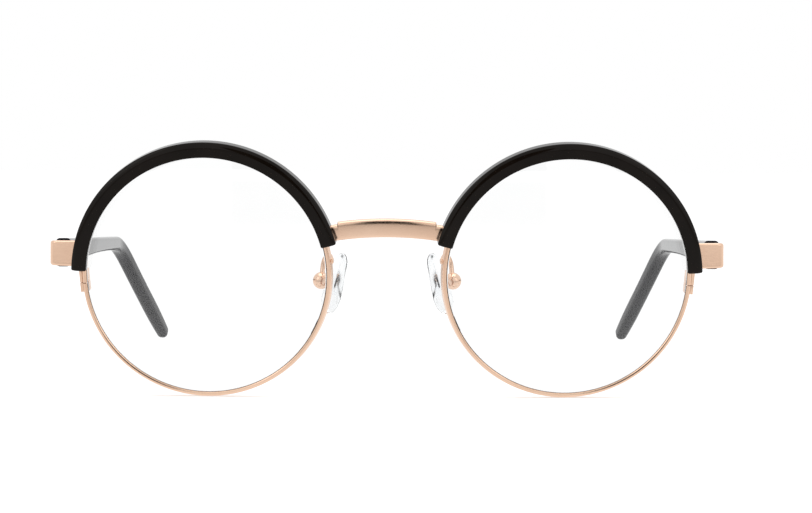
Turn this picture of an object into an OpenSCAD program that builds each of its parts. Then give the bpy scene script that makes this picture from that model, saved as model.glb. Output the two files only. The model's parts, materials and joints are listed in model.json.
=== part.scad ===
// Round combination spectacle frame: metal rims, acetate brow arcs and acetate temples.
// It stands on a table, with the rim bottoms and the temple tips on z = 0.
// The front faces -Y, +Z is up, and +X is the wearer's left. All sizes are in millimetres.
// Every left piece is modelled once, and its right one is the mirror image.
// Profiles of revolved parts are drawn as [radius from the lens axis, distance forward].

/* [Lenses] */
// Lens diameter
lens_d = 50; // [46:0.5:52]
// Gap between the two lenses at their nearest points
lens_gap = 23.2; // [22:0.1:26]
// Lens thickness
lens_t = 1.7; // [1.3:0.1:1.9]
// Radius of the curved lens faces
lens_curve_r = 130; // [90:5:300]
// Play between the lens and its groove
lens_play = 0.04; // [0.02:0.01:0.08]

/* [Rims] */
// Width of the rim wire, seen from the front
rim_w = 1; // [0.95:0.05:1.3]
// Depth of the rim wire from front to back
rim_depth = 2; // [1.9:0.1:2.4]
// Lean of the wire's section, whose back stands further out than its front
rim_lean = 11.5; // [0:0.5:13]
// Depth of the groove that holds the lens
groove_depth = 0.5; // [0.35:0.05:0.6]
// Width of the mouth of that groove
groove_w = 1; // [0.8:0.1:1.2]
// Chamfer on the outer edges of the wire
rim_edge = 0.25; // [0.1:0.05:0.3]
// Saw cut through the rim at the closing block
rim_slit = 0.15; // [0.1:0.05:0.25]

/* [Closing block] */
// Angle of the saw cut below the lens's level line
lock_angle = 5; // [4:0.5:8]
// Height of the upper half of the block
lock_upper_h = 2.4; // [2:0.1:2.5]
// Height of the lower half of the block
lock_lower_h = 1.8; // [1.6:0.1:2.6]
// Width of the block across the rim
lock_w = 1.7; // [1.6:0.1:2]
// How far the block stands out past the rim
lock_out = 0.5; // [0.45:0.05:0.8]
// Thickness of the block behind the rim
lock_back = 2.2; // [2.1:0.1:2.8]
// Thickness of the block beside the rim
lock_beside = 1.4; // [0.6:0.1:1.6]
// Diameter of the closing screw
lock_screw_d = 1; // [0.8:0.1:1]

/* [Brow arcs] */
// Width of the brow arc, seen from the front
brow_w = 3.1; // [2.8:0.1:4]
// Step from the rim's inner edge to the brow's inner edge
brow_lap = 0; // [0:0.05:0.3]
// Thickness of the brow in front of the rim
brow_lip = 1.8; // [1.6:0.1:2.4]
// Depth of the brow behind the rim's front face
brow_skirt = 1.6; // [1:0.1:1.9]
// Width of the bevel along the brow's outer edge
brow_bevel_w = 0.8; // [0.3:0.1:1]
// Height of that bevel
brow_bevel_h = 0.5; // [0.2:0.1:0.8]
// Small chamfer on the brow's other edges
brow_edge = 0.2; // [0.1:0.05:0.3]
// Angle of the brow's lower end on the temple side
brow_temple_angle = 1.4; // [1:0.1:2]
// Angle of the brow's lower end on the nose side
brow_nose_angle = 14.5; // [12:0.5:16]
// Clearance between the brow and the metal that it fits over
brow_fit = 0.05; // [0.03:0.01:0.1]

/* [Bridge] */
// Height of the bridge's middle line above the lens centres
bridge_up = 10.1; // [9.4:0.1:10.6]
// Height of the bridge bar, seen from the front
bridge_h = 3.8; // [3.2:0.1:4.2]
// Thickness of the bridge bar
bridge_t = 1.7; // [1.5:0.1:2]
// Radius of the bridge's arch, seen from the front
bridge_arch_r = 60; // [45:1:120]
// Radius of the bridge's bow, seen from above
bridge_bow_r = 70; // [50:1:150]
// How far the middle of the bridge stands in front of the rims
bridge_front = 2.2; // [1.6:0.1:2.3]
// Width of the soldered lug that shows at each end of the bar
bridge_lug = 1.1; // [0.6:0.1:1.5]
// How much lower the lug's top edge is than the bar's
bridge_lug_step = 0.5; // [0.2:0.1:0.8]

/* [Front] */
// Forward tilt of the front as it stands on the table
front_tilt = 8.4; // [7:0.1:10]
// Turn of each lens towards the temple side
face_wrap = 3.4; // [2.5:0.1:4.5]

/* [Endpieces] */
// How far the endpiece reaches out past the brow
endpiece_reach = 4.5; // [4:0.1:5]
// Height of the endpiece
endpiece_h = 5; // [4.8:0.1:5.2]
// Distance of its front face behind the front's middle
endpiece_front = 1.5; // [1.45:0.05:1.7]
// Thickness of its front plate
endpiece_plate_t = 2.7; // [2.5:0.1:3]
// Thickness of its side plate
endpiece_side_t = 1.6; // [1.4:0.1:1.8]
// Radius of the outer corner, seen from above
endpiece_corner_r = 1.5; // [0.8:0.1:1.6]

/* [Temple hinges] */
// Distance of the hinge axis behind the front's middle
hinge_back = 11.5; // [11:0.1:14]
// Height of the hinge axis's middle above the lens centres
hinge_up = 3.8; // [3.7:0.1:4]
// Total height of the barrels
barrel_h = 4.6; // [4.4:0.1:4.7]
// Height of the middle barrel
barrel_mid_h = 1.58; // [1.4:0.02:1.8]
// Outer diameter of the barrels
barrel_d = 2.5; // [2.3:0.1:2.8]
// Gap between neighbouring barrels
barrel_gap = 0.06; // [0.04:0.01:0.1]
// Diameter of the hinge screw
hinge_screw_d = 1.2; // [1:0.05:1.4]
// Radial clearance of a pin that turns in its bore
pin_play = 0.03; // [0.02:0.01:0.06]
// Distance from the hinge axis out to the temple's inner face
hinge_inset = 2; // [1.8:0.1:2.2]
// Gap between the endpiece and the temple's end when open
butt_gap = 0.06; // [0.04:0.01:0.1]
// Length of the leaf on the endpiece
front_leaf_len = 5.5; // [4:0.1:6]
// Length of the leaf on the temple
temple_leaf_len = 9.5; // [9:0.1:12]
// Thickness of the leaf on the temple
temple_leaf_t = 0.9; // [0.7:0.05:1]
// Height of the leaf on the temple
temple_leaf_h = 4; // [3.8:0.1:4.1]
// Thickness of the arm that carries the middle barrel
leaf_arm_t = 1.15; // [1:0.05:1.2]

/* [Temples] */
// Length from the hinge axis to the bend behind the ear
temple_straight = 91; // [84:1:98]
// Length from that bend to the tip
temple_tail = 48; // [44:1:52]
// Thickness of the temple
temple_t = 3.2; // [3:0.1:3.6]
// Height at the hinge end
temple_h = 5.9; // [5.6:0.1:6]
// Height at the bend, the slimmest place
temple_waist_h = 3.2; // [3:0.1:4]
// Height near the tip
temple_tip_h = 3.8; // [3.4:0.1:5]
// Radius of the temple's long edges
temple_edge_r = 0.9; // [0.6:0.05:1]
// Radius of those edges on the tail
temple_tail_edge_r = 1.4; // [1:0.05:1.45]
// Angle by which the tail turns down
temple_drop = 33; // [28:1:36]
// Angle by which the tail turns in
temple_turn_in = 13; // [8:0.5:13]
// Turn of the whole open temple towards the head
temple_toe_in = 0.7; // [0:0.1:1.5]
// Length over which the tail turns
temple_bend_len = 17; // [14:1:24]
// Diameter of the metal core wire
core_d = 1.2; // [0.8:0.1:1.3]
// Length of the core wire
core_len = 84; // [60:1:88]

/* [Nose pads] */
// Distance of the pad box from the middle plane
pad_x = 13.5; // [13.2:0.1:14.2]
// Distance of the pad box behind the front's middle
pad_back = 5.7; // [5:0.1:5.9]
// Distance of the pad box below the lens centres
pad_down = 2.2; // [1.5:0.1:3.3]
// Turn of the pad away from straight sideways, seen from above
pad_splay = 30; // [25:1:34]
// Lean of the pad's top towards the nose
pad_lean = 18; // [13:1:20]
// Length of the pad
pad_len = 13; // [12:0.5:15]
// Width of the pad's lower part
pad_w = 7; // [6:0.1:7.4]
// Width of the pad's upper part
pad_top_w = 4.6; // [4:0.1:5.5]
// Thickness of the pad
pad_t = 2.3; // [2:0.1:2.6]
// Diameter of the round pad box
pad_box_d = 3.5; // [3.3:0.1:3.8]
// Thickness of the tab that the pad hangs on
pad_tab_t = 1.4; // [1.2:0.05:1.5]
// Side play of that tab in the box
pad_tab_play = 0.05; // [0.04:0.01:0.08]
// Diameter of the pad screw
pad_screw_d = 0.9; // [0.8:0.05:1]
// Diameter of the wire of the pad arm
pad_arm_d = 1; // [0.9:0.05:1.2]

/* [Small screws] */
// Diameter of the brow screws and of the temple rivets
fixing_d = 0.9; // [0.8:0.05:1]
// Diameter of their heads
fixing_head_d = 1.6; // [1.4:0.1:1.8]
// Height of their heads
fixing_head_h = 0.35; // [0.25:0.05:0.4]
// Clearance around a fixed screw or rivet, and at a soldered seat
seat_gap = 0.02; // [0.01:0.01:0.03]

/* [Hidden] */

gold = [0.87, 0.72, 0.62];
black = [0.13, 0.12, 0.11];
clear = [0.9, 0.93, 0.95, 0.4];

$fn = 96;
round_fn = 128;
pin_fn = 48;
ball_fn = 32;
eps = 0.01;
past = 20;

// Width of the cross slot in the small screws, and in the hinge screw
slot_w = 0.25;
hinge_slot_w = 0.3;

lens_r = lens_d / 2;
lens_x = (lens_d + lens_gap) / 2;
rim_r_in = lens_r - groove_depth;
rim_r_out = rim_r_in + rim_w;
rim_mid = -rim_depth / 2;
brow_r_in = leaned([rim_r_in, 0]).x + brow_lap;
brow_r_out = brow_r_in + brow_w;
outer_x = lens_x + brow_r_out + endpiece_reach;
hinge_x = outer_x - temple_t - hinge_inset;
barrel_r = barrel_d / 2;
pin_r = hinge_screw_d / 2;
fixing_r = fixing_d / 2;
fixing_head_r = fixing_head_d / 2;

// A point of a section that leans with the wire, whose radii hold in the middle of its depth
function leaned(p) = [p.x - (p.y - rim_mid) * tan(rim_lean), p.y];

// The wire's section before it leans
rim_inner_edge = rim_edge * 0.6;
rim_profile = [
    [rim_r_out, -rim_edge],
    [rim_r_out - rim_edge, 0],
    [rim_r_in + rim_inner_edge, 0],
    [rim_r_in, -rim_inner_edge],
    [rim_r_in, rim_mid + groove_w / 2],
    [lens_r, rim_mid],
    [rim_r_in, rim_mid - groove_w / 2],
    [rim_r_in, -rim_depth + rim_inner_edge],
    [rim_r_in + rim_inner_edge, -rim_depth],
    [rim_r_out - rim_edge, -rim_depth],
    [rim_r_out, -rim_depth + rim_edge]
];

// Height of the lens centres, at which the wire's lowest edge touches the table
radial_drop = norm([sin(face_wrap) * sin(front_tilt), cos(front_tilt)]);
forward_drop = cos(face_wrap) * sin(front_tilt);
rest_z = max([for (p = rim_profile) leaned(p).x * radial_drop + p.y * forward_drop]);
hinge_z = rest_z + hinge_up;

// Frames of reference

// The tilted front: its origin is midway between the lens centres
module in_front() {
    translate([0, part_y, rest_z]) rotate([front_tilt, 0, 0]) children();
}

// The left lens: its origin is the lens centre, and its depth runs along +Y
module in_lens() {
    in_front() translate([lens_x, 0, 0]) rotate([0, 0, face_wrap]) children();
}

// A place on the left rim: +X points out through the rim at this angle above level
module at_rim(angle) {
    in_lens() rotate([0, -angle, 0]) children();
}

// The left hinge axis: +Y runs along the open temple, and +Z along the axis
module in_hinge() {
    translate([hinge_x, part_y + hinge_back, hinge_z]) rotate([-temple_slope, 0, 0]) children();
}

// The left temple, which also turns about that axis by its toe-in
module in_temple() {
    in_hinge() rotate([0, 0, temple_toe_in]) children();
}

// The left pad box: -X points into the nose, and the pad screw lies along Y
module in_pad() {
    in_front() translate([pad_x, pad_back, -pad_down])
        rotate([0, 0, -pad_splay]) rotate([0, -pad_lean, 0]) children();
}

module on_right() {
    mirror([1, 0, 0]) children();
}

// Turns a profile about the lens axis, from one angle above level to another
module turned(from, to) {
    rotate([90, 0, 0]) rotate([0, 0, from])
        rotate_extrude(angle = to - from, $fn = round_fn) children();
}

// A pin along +Y that starts at the origin
module pin_y(r, length) {
    rotate([-90, 0, 0]) cylinder(r = r, h = length, $fn = pin_fn);
}

// A pin along +X that starts at the origin
module pin_x(r, length) {
    rotate([0, 90, 0]) cylinder(r = r, h = length, $fn = pin_fn);
}

// The left rim's space, as a plug that other metal is cut to fit; it reaches this far back
module rim_space(back) {
    in_lens() rotate([-90, 0, 0]) translate([0, 0, -past])
        cylinder(r1 = leaned([rim_r_out, past]).x + seat_gap,
                 r2 = leaned([rim_r_out, -back]).x + seat_gap, h = past + back, $fn = round_fn);
}

// Lenses and rims

function lens_sag(r) = lens_curve_r - sqrt(lens_curve_r * lens_curve_r - r * r);

lens_steps = 8;
lens_flat_r = rim_r_in - lens_play;
lens_bevel_w = groove_w - 2 * lens_play;
lens_front_edge = leaned([lens_flat_r, rim_mid + lens_t / 2]);
lens_back_edge = leaned([lens_flat_r, rim_mid - lens_t / 2]);
lens_front = [for (i = [0:lens_steps])
    let (r = lens_front_edge.x * i / lens_steps)
    [r, lens_front_edge.y + lens_sag(lens_front_edge.x) - lens_sag(r)]];
lens_back = [for (i = [lens_steps:-1:0])
    let (r = lens_back_edge.x * i / lens_steps)
    [r, lens_back_edge.y + lens_sag(lens_back_edge.x) - lens_sag(r)]];
lens_bevel = [
    leaned([lens_flat_r, rim_mid + lens_bevel_w / 2]),
    [lens_r - 2 * lens_play, rim_mid],
    leaned([lens_flat_r, rim_mid - lens_bevel_w / 2])
];

module lens() {
    color(clear) in_lens() turned(0, 360) polygon(concat(lens_front, lens_bevel, lens_back));
}

// The closed ring of wire is sawn through once, at the closing block
module rim() {
    color(gold) difference() {
        in_lens() turned(0, 360) polygon([for (p = rim_profile) leaned(p)]);
        at_rim(-lock_angle) translate([rim_r_in - rim_w, -eps, -rim_slit / 2])
            cube([3 * rim_w, rim_depth + 2 * eps, rim_slit]);
    }
}

// Closing block: two halves soldered outside and behind the wire, drawn together by a screw

lock_x_out = rim_r_out + lock_out;
lock_x_in = lock_x_out - lock_w;
lock_screw_x = (lock_x_in + lock_x_out) / 2;
lock_screw_y = rim_depth + seat_gap + lock_back / 2;
lock_head_rim = 0.2;
lock_head_r = lock_screw_d / 2 + lock_head_rim;
lock_head_h = 0.4;
lock_thread_end = 0.6;
lock_floor = -rim_slit / 2 - lock_lower_h;

module lock_half(height, above) {
    low = above ? rim_slit / 2 : -rim_slit / 2 - height;
    difference() {
        at_rim(-lock_angle) translate([lock_x_in, rim_depth - lock_beside, low])
            cube([lock_w, lock_beside + lock_back, height]);
        rim_space(rim_depth + seat_gap);
    }
}

module lock_screw_hole(r, from, to) {
    at_rim(-lock_angle) translate([lock_screw_x, lock_screw_y, from])
        cylinder(r = r, h = to - from, $fn = pin_fn);
}

module lock_upper() {
    color(gold) difference() {
        lock_half(lock_upper_h, true);
        lock_screw_hole(lock_screw_d / 2 + seat_gap, -eps, lock_upper_h - lock_thread_end);
    }
}

module lock_lower() {
    color(gold) difference() {
        lock_half(lock_lower_h, false);
        lock_screw_hole(lock_screw_d / 2 + pin_play, lock_floor - eps, eps);
        lock_screw_hole(lock_head_r + pin_play, lock_floor - eps, lock_floor + lock_head_h);
    }
}

module lock_screw() {
    color(gold) difference() {
        union() {
            lock_screw_hole(lock_screw_d / 2, lock_floor, lock_upper_h - lock_thread_end - pin_play);
            lock_screw_hole(lock_head_r, lock_floor, lock_floor + lock_head_h - seat_gap);
        }
        at_rim(-lock_angle)
            translate([lock_screw_x - slot_w / 2, lock_screw_y - lock_head_r - eps, lock_floor - eps])
            cube([slot_w, 2 * (lock_head_r + eps), lock_head_h / 2]);
    }
}

// Brow arcs: an acetate bar that laps over the front of the rim and reaches round its outside

brow_profile = [
    [brow_r_in, brow_fit],
    [brow_r_in, brow_lip - brow_edge],
    [brow_r_in + brow_edge, brow_lip],
    [brow_r_out - brow_bevel_w, brow_lip],
    [brow_r_out - brow_bevel_w / 3, brow_lip - brow_bevel_h / 2],
    [brow_r_out, brow_lip - brow_bevel_h - brow_edge],
    [brow_r_out, brow_edge - brow_skirt],
    [brow_r_out - brow_edge, -brow_skirt],
    leaned([rim_r_out + brow_fit, -brow_skirt]),
    leaned([rim_r_out + brow_fit, brow_fit])
];

brow_screw_r = (rim_r_out + brow_r_out) / 2;
brow_screw_tip = 1.3;
endpiece_screw_angle = asin(hinge_up / brow_screw_r);
endpiece_screw_seat = 2.1;
bridge_screw_angle = 180 - asin((bridge_up - bridge_lug_step / 2) / brow_screw_r);
bridge_screw_seat = 1.45;

// A brow screw's space: the shank reaches forward into the brow, and the head sits behind
module brow_screw_space(angle, seat, grow) {
    at_rim(angle) translate([brow_screw_r, 0, 0]) {
        translate([0, -brow_screw_tip - grow, 0])
            pin_y(fixing_r + grow, seat + brow_screw_tip + grow + eps);
        translate([0, seat - grow, 0])
            pin_y(fixing_head_r + grow, grow > 0 ? past / 4 : fixing_head_h);
    }
}

module brow_screw_slot(angle, seat) {
    at_rim(angle)
        translate([brow_screw_r - slot_w / 2, seat + fixing_head_h / 2, -fixing_head_r - eps])
        cube([slot_w, fixing_head_h, 2 * (fixing_head_r + eps)]);
}

module brow_screws() {
    color(gold) difference() {
        union() {
            brow_screw_space(endpiece_screw_angle, endpiece_screw_seat, 0);
            brow_screw_space(bridge_screw_angle, bridge_screw_seat, 0);
        }
        brow_screw_slot(endpiece_screw_angle, endpiece_screw_seat);
        brow_screw_slot(bridge_screw_angle, bridge_screw_seat);
    }
}

module brow() {
    color(black) difference() {
        in_lens() turned(brow_temple_angle, 180 - brow_nose_angle) polygon(brow_profile);
        endpiece_bar(brow_fit);
        bridge_bars(brow_fit);
        brow_screw_space(endpiece_screw_angle, endpiece_screw_seat, seat_gap);
        brow_screw_space(bridge_screw_angle, bridge_screw_seat, seat_gap);
    }
}

// Bridge: one arched bar between the rims, with a lower lug at each end

bridge_bar_half = lens_x - rim_r_out - bridge_lug;
bridge_lug_under = 3.2;
bridge_lug_half = bridge_bar_half + bridge_lug + bridge_lug_under;
bridge_fn = 360;

// A bar that is arched as seen from the front and bowed as seen from above
module arched_bar(low, high, half, grow) {
    arch_z = bridge_up - bridge_arch_r;
    intersection() {
        translate([0, bridge_bow_r - bridge_front, 0]) difference() {
            cylinder(r = bridge_bow_r + grow, h = 3 * past, center = true, $fn = bridge_fn);
            cylinder(r = bridge_bow_r - bridge_t - grow, h = 4 * past, center = true, $fn = bridge_fn);
        }
        translate([0, 0, arch_z]) rotate([90, 0, 0]) difference() {
            cylinder(r = bridge_arch_r + high + grow, h = past, center = true, $fn = bridge_fn);
            cylinder(r = bridge_arch_r + low - grow, h = 2 * past, center = true, $fn = bridge_fn);
        }
        translate([-half - grow, -past / 2, 0]) cube([2 * (half + grow), past, 2 * past]);
    }
}

module bridge_bars(grow) {
    in_front() {
        arched_bar(-bridge_h / 2, bridge_h / 2, bridge_bar_half, grow);
        arched_bar(-bridge_h / 2, bridge_h / 2 - bridge_lug_step, bridge_lug_half, grow);
    }
}

module bridge() {
    color(gold) difference() {
        bridge_bars(0);
        rim_space(past);
        on_right() rim_space(past);
        brow_screw_space(bridge_screw_angle, bridge_screw_seat, seat_gap);
        on_right() brow_screw_space(bridge_screw_angle, bridge_screw_seat, seat_gap);
    }
}

// Endpieces: a plate across the back of the rim that turns back along the side to the hinge

endpiece_out = hinge_inset + temple_t;
endpiece_front_y = endpiece_front - hinge_back;
endpiece_in = 4.1;
endpiece_fillet_r = 0.8;
endpiece_arc_steps = 6;

function arc(centre, r, from, to, steps) = [for (i = [0:steps])
    centre + r * [cos(from + (to - from) * i / steps), sin(from + (to - from) * i / steps)]];

function endpiece_outline(grow) = concat(
    [[endpiece_out + grow, -butt_gap / 2]],
    [[endpiece_out - endpiece_side_t - grow, -butt_gap / 2]],
    arc([endpiece_out - endpiece_side_t - endpiece_fillet_r,
         endpiece_front_y + endpiece_plate_t + endpiece_fillet_r],
        endpiece_fillet_r - grow, 0, -90, endpiece_arc_steps),
    [[-endpiece_in + endpiece_side_t, endpiece_front_y + endpiece_plate_t + grow]],
    [[-endpiece_in + endpiece_side_t, endpiece_front_y - grow]],
    arc([endpiece_out - endpiece_corner_r, endpiece_front_y + endpiece_corner_r],
        endpiece_corner_r + grow, -90, 0, endpiece_arc_steps));

module endpiece_bar(grow) {
    height = endpiece_h + 2 * grow;
    in_hinge() translate([0, 0, -height / 2]) linear_extrude(height)
        polygon(endpiece_outline(grow));
}

module endpiece() {
    color(gold) difference() {
        endpiece_bar(0);
        rim_space(rim_depth + seat_gap);
        brow_screw_space(endpiece_screw_angle, endpiece_screw_seat, seat_gap);
    }
}

// Temple hinge: two outer barrels on the endpiece and one middle barrel on the temple

barrel_end_h = (barrel_h - barrel_mid_h) / 2 - barrel_gap;
hinge_head_rim = 0.45;
hinge_head_r = pin_r + hinge_head_rim;
hinge_head_h = 0.35;

module barrel(low, height) {
    translate([0, 0, low]) cylinder(r = barrel_r, h = height, $fn = pin_fn);
}

module front_leaf() {
    leaf_t = temple_t - endpiece_side_t - seat_gap;
    upper_low = barrel_mid_h / 2 + barrel_gap;
    color(gold) in_hinge() difference() {
        union() {
            translate([hinge_inset, -front_leaf_len, -barrel_h / 2])
                cube([leaf_t, front_leaf_len - butt_gap / 2, barrel_h]);
            for (low = [-barrel_h / 2, upper_low]) {
                barrel(low, barrel_end_h);
                translate([0, -barrel_r, low])
                    cube([hinge_inset + eps, leaf_arm_t, barrel_end_h]);
            }
        }
        translate([0, 0, -barrel_h]) cylinder(r = pin_r + pin_play, h = 2 * barrel_h, $fn = pin_fn);
    }
}

module hinge_screw() {
    head_low = barrel_h / 2 + seat_gap;
    color(gold) in_hinge() difference() {
        union() {
            translate([0, 0, -barrel_h / 2])
                cylinder(r = pin_r, h = barrel_h / 2 + head_low + eps, $fn = pin_fn);
            translate([0, 0, head_low]) cylinder(r = hinge_head_r, h = hinge_head_h, $fn = pin_fn);
        }
        translate([-hinge_slot_w / 2, -hinge_head_r - eps, head_low + hinge_head_h / 2])
            cube([hinge_slot_w, 2 * (hinge_head_r + eps), hinge_head_h]);
    }
}

leaf_gap = 0.1;
leaf_start = barrel_r + leaf_gap;
leaf_proud = 0.1;
leaf_in = hinge_inset - leaf_proud;
rivet_inset = 1.8;
rivet_up = 1.3;
rivet_at = [
    [leaf_start + rivet_inset, rivet_up],
    [leaf_start + temple_leaf_len - rivet_inset, -rivet_up]
];
rivet_len = 1.9;

module temple_leaf_plate(grow) {
    translate([leaf_in - grow, leaf_start - grow, -temple_leaf_h / 2 - grow])
        cube([temple_leaf_t + 2 * grow, temple_leaf_len + 2 * grow, temple_leaf_h + 2 * grow]);
}

module rivet_spaces(grow) {
    for (at = rivet_at) translate([leaf_in - fixing_head_h / 2, at[0], at[1]])
        pin_x(fixing_r + grow, rivet_len + grow);
}

// The arm reaches out from the middle barrel and turns back to lie against the leaf
module temple_leaf() {
    arm_end = leaf_start + rivet_inset - fixing_head_r - leaf_gap;
    color(gold) in_temple() difference() {
        union() {
            temple_leaf_plate(0);
            barrel(-barrel_mid_h / 2, barrel_mid_h);
            translate([0, barrel_r - leaf_arm_t, -barrel_mid_h / 2])
                cube([leaf_in, leaf_arm_t, barrel_mid_h]);
            translate([leaf_in - leaf_arm_t, barrel_r - eps, -barrel_mid_h / 2])
                cube([leaf_arm_t + eps, arm_end - barrel_r + eps, barrel_mid_h]);
        }
        translate([0, 0, -barrel_h]) cylinder(r = pin_r + pin_play, h = 2 * barrel_h, $fn = pin_fn);
        rivet_spaces(seat_gap);
    }
}

module leaf_rivets() {
    color(gold) in_temple() {
        rivet_spaces(0);
        for (at = rivet_at) translate([leaf_in - fixing_head_h, at[0], at[1]])
            pin_x(fixing_head_r, fixing_head_h - seat_gap);
    }
}

// Temples: a rounded bar swept along its path, slimmest at the bend behind the ear

edge_steps = 3;
straight_steps = 7;
tail_steps = 14;
cap_steps = 4;
cap_end = 74;
cap_len = 1.9;
taper_power = 2.4;
tail_growth = 1.5;
temple_centre_x = hinge_inset + temple_t / 2;

function smooth(t) = t <= 0 ? 0 : t >= 1 ? 1 : (1 - cos(180 * t)) / 2;

// Share of the tail's turn that is done at a distance from the hinge
function turn_at(s) = smooth((s - temple_straight) / temple_bend_len);

// Radius of its long edges, which are rounder on the tail
function edge_at(s) = temple_edge_r + (temple_tail_edge_r - temple_edge_r) * turn_at(s);

// Height of the section: it tapers down to the waist and grows again towards the tip
function height_at(s) = s < temple_straight
    ? temple_waist_h + (temple_h - temple_waist_h) * pow(1 - s / temple_straight, taper_power)
    : temple_waist_h + (temple_tip_h - temple_waist_h)
        * smooth((s - temple_straight) / temple_tail * tail_growth);

function temple_dir(s) =
    let (down = temple_drop * turn_at(s), inward = temple_turn_in * turn_at(s))
    [-sin(inward) * cos(down), cos(inward) * cos(down), -sin(down)];

function temple_up(s) =
    let (down = temple_drop * turn_at(s), inward = temple_turn_in * turn_at(s))
    [-sin(down) * sin(inward), sin(down) * cos(inward), cos(down)];

function temple_across(s) =
    let (inward = temple_turn_in * turn_at(s))
    [cos(inward), sin(inward), 0];

// Points along the path, each a tail step on from the one before
function tail_path(i, p) = i > tail_steps ? [] :
    let (step = temple_tail / tail_steps, s = temple_straight + i * step)
    concat([p], tail_path(i + 1, p + step * temple_dir(s + step / 2)));

tail_points = tail_path(0, [temple_centre_x, temple_straight, 0]);

// Corners of a rounded rectangle, round an origin at its middle
function rounded(w, h, r) = [for (corner = [[1, 1, 0], [-1, 1, 90], [-1, -1, 180], [1, -1, 270]])
    for (k = [0:edge_steps])
    let (turn = corner[2] + 90 * k / edge_steps)
    [corner[0] * (w / 2 - r) + r * cos(turn), corner[1] * (h / 2 - r) + r * sin(turn)]];

// One section: the top edge keeps its line, so a slimmer section is raised
function temple_section(p, s, share) =
    let (h = height_at(s), lift = (temple_h - h) / 2, across = temple_across(s), up = temple_up(s))
    [for (q = rounded(temple_t * share, h * share, edge_at(s) * share))
        p + across * q[0] + up * (q[1] + lift)];

straight_sections = [for (i = [0:straight_steps - 1])
    let (s = butt_gap / 2 + (temple_straight - butt_gap / 2) * i / straight_steps)
    temple_section([temple_centre_x, s, 0], s, 1)];
tail_sections = [for (i = [0:tail_steps])
    temple_section(tail_points[i], temple_straight + temple_tail * i / tail_steps, 1)];

// The round end of the tip
tip_s = temple_straight + temple_tail;
cap_sections = [for (k = [1:cap_steps])
    let (turn = cap_end * k / cap_steps)
    temple_section(tail_points[tail_steps] + temple_dir(tip_s) * cap_len * sin(turn), tip_s, cos(turn))];
temple_rings = concat(straight_sections, tail_sections, cap_sections);
temple_points = [for (ring = temple_rings) for (p = ring) p];

// Faces of a tube of rings with the same number of points, closed at both ends
function skin(rings, sides) = concat(
    [[for (j = [sides - 1:-1:0]) j]],
    [for (i = [0:rings - 2]) for (j = [0:sides - 1])
        let (a = i * sides + j, b = i * sides + (j + 1) % sides)
        for (face = [[a, b, b + sides], [a, b + sides, a + sides]]) face],
    [[for (j = [0:sides - 1]) (rings - 1) * sides + j]]);

// The slope at which the tips rest on the table, found by turning the temple a few times
function toed_y(p) = p.x * sin(temple_toe_in) + p.y * cos(temple_toe_in);
function lowest(slope) = hinge_z
    + min([for (p = temple_points) p.z * cos(slope) - toed_y(p) * sin(slope)]);
function settle(slope, turns) = turns == 0 ? slope :
    settle(slope + asin(lowest(slope) / (temple_straight + temple_tail)), turns - 1);
temple_slope = settle(0, 8);

// The origin lies midway between the brow's foremost point and the tips' rearmost one
forward_share = cos(face_wrap) * cos(front_tilt);
radial_share = norm([sin(face_wrap) * cos(front_tilt), sin(front_tilt)]);
foremost = -max([for (q = brow_profile) q[1] * forward_share + q[0] * radial_share]);
rearmost = hinge_back
    + max([for (p = temple_points) toed_y(p) * cos(temple_slope) + p.z * sin(temple_slope)]);
part_y = -(foremost + rearmost) / 2;

core_start = 0.4;
core_climb = atan((temple_h - temple_waist_h) / 2 / temple_straight);

// The wire's space from a place near the hinge; the temple's hole is open at its front end
module core_space(grow, start) {
    translate([temple_centre_x, 0, 0]) rotate([core_climb, 0, 0])
        translate([0, start, 0]) pin_y(core_d / 2 + grow, core_start + core_len + grow - start);
}

module core_wire() {
    color(gold) in_temple() core_space(0, core_start);
}

module temple() {
    sides = 4 * (edge_steps + 1);
    color(black) in_temple() difference() {
        polyhedron(temple_points, skin(len(temple_rings), sides));
        temple_leaf_plate(seat_gap);
        rivet_spaces(seat_gap);
        core_space(seat_gap, -core_start);
    }
}

// Nose pads: a clear pad on a tab that rocks on a screw in a round box on a bent wire arm

pad_box_r = pad_box_d / 2;
pad_spot = 1.4;
pad_mouth = 0.95;
pad_pocket = 0.95;
pad_window = 1.15;
pad_tab_r = 0.85;
pad_neck = 0.7;
pad_gap = 2.2;
pad_insert_t = 0.6;
pad_insert_w = 3;
pad_insert_h = 4.6;
pad_cover = 0.35;
pad_middle_share = 0.96;
pad_head_r = 0.8;
pad_head_h = 0.35;
pad_screw_short = 0.1;

module pad_box() {
    color(gold) in_pad() difference() {
        sphere(r = pad_box_r, $fn = 64);
        translate([-past - pad_mouth, -past / 2, -past / 2]) cube([past, past, past]);
        translate([-past / 2, -past - pad_spot, -past / 2]) cube([past, past, past]);
        translate([-past + pad_pocket, -pad_tab_t / 2 - pad_tab_play, -pad_window])
            cube([past, pad_tab_t + 2 * pad_tab_play, 2 * pad_window]);
        translate([0, -past / 2, 0]) pin_y(pad_screw_d / 2 + seat_gap, past);
    }
}

module pad_screw() {
    head_back = -pad_spot - seat_gap;
    color(gold) in_pad() difference() {
        union() {
            translate([0, head_back - eps, 0])
                pin_y(pad_screw_d / 2, pad_spot + pad_box_r - pad_screw_short);
            translate([0, head_back - pad_head_h, 0]) pin_y(pad_head_r, pad_head_h);
        }
        translate([-pad_head_r - eps, head_back - pad_head_h - eps, -slot_w / 2])
            cube([2 * (pad_head_r + eps), pad_head_h / 2, slot_w]);
    }
}

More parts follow.
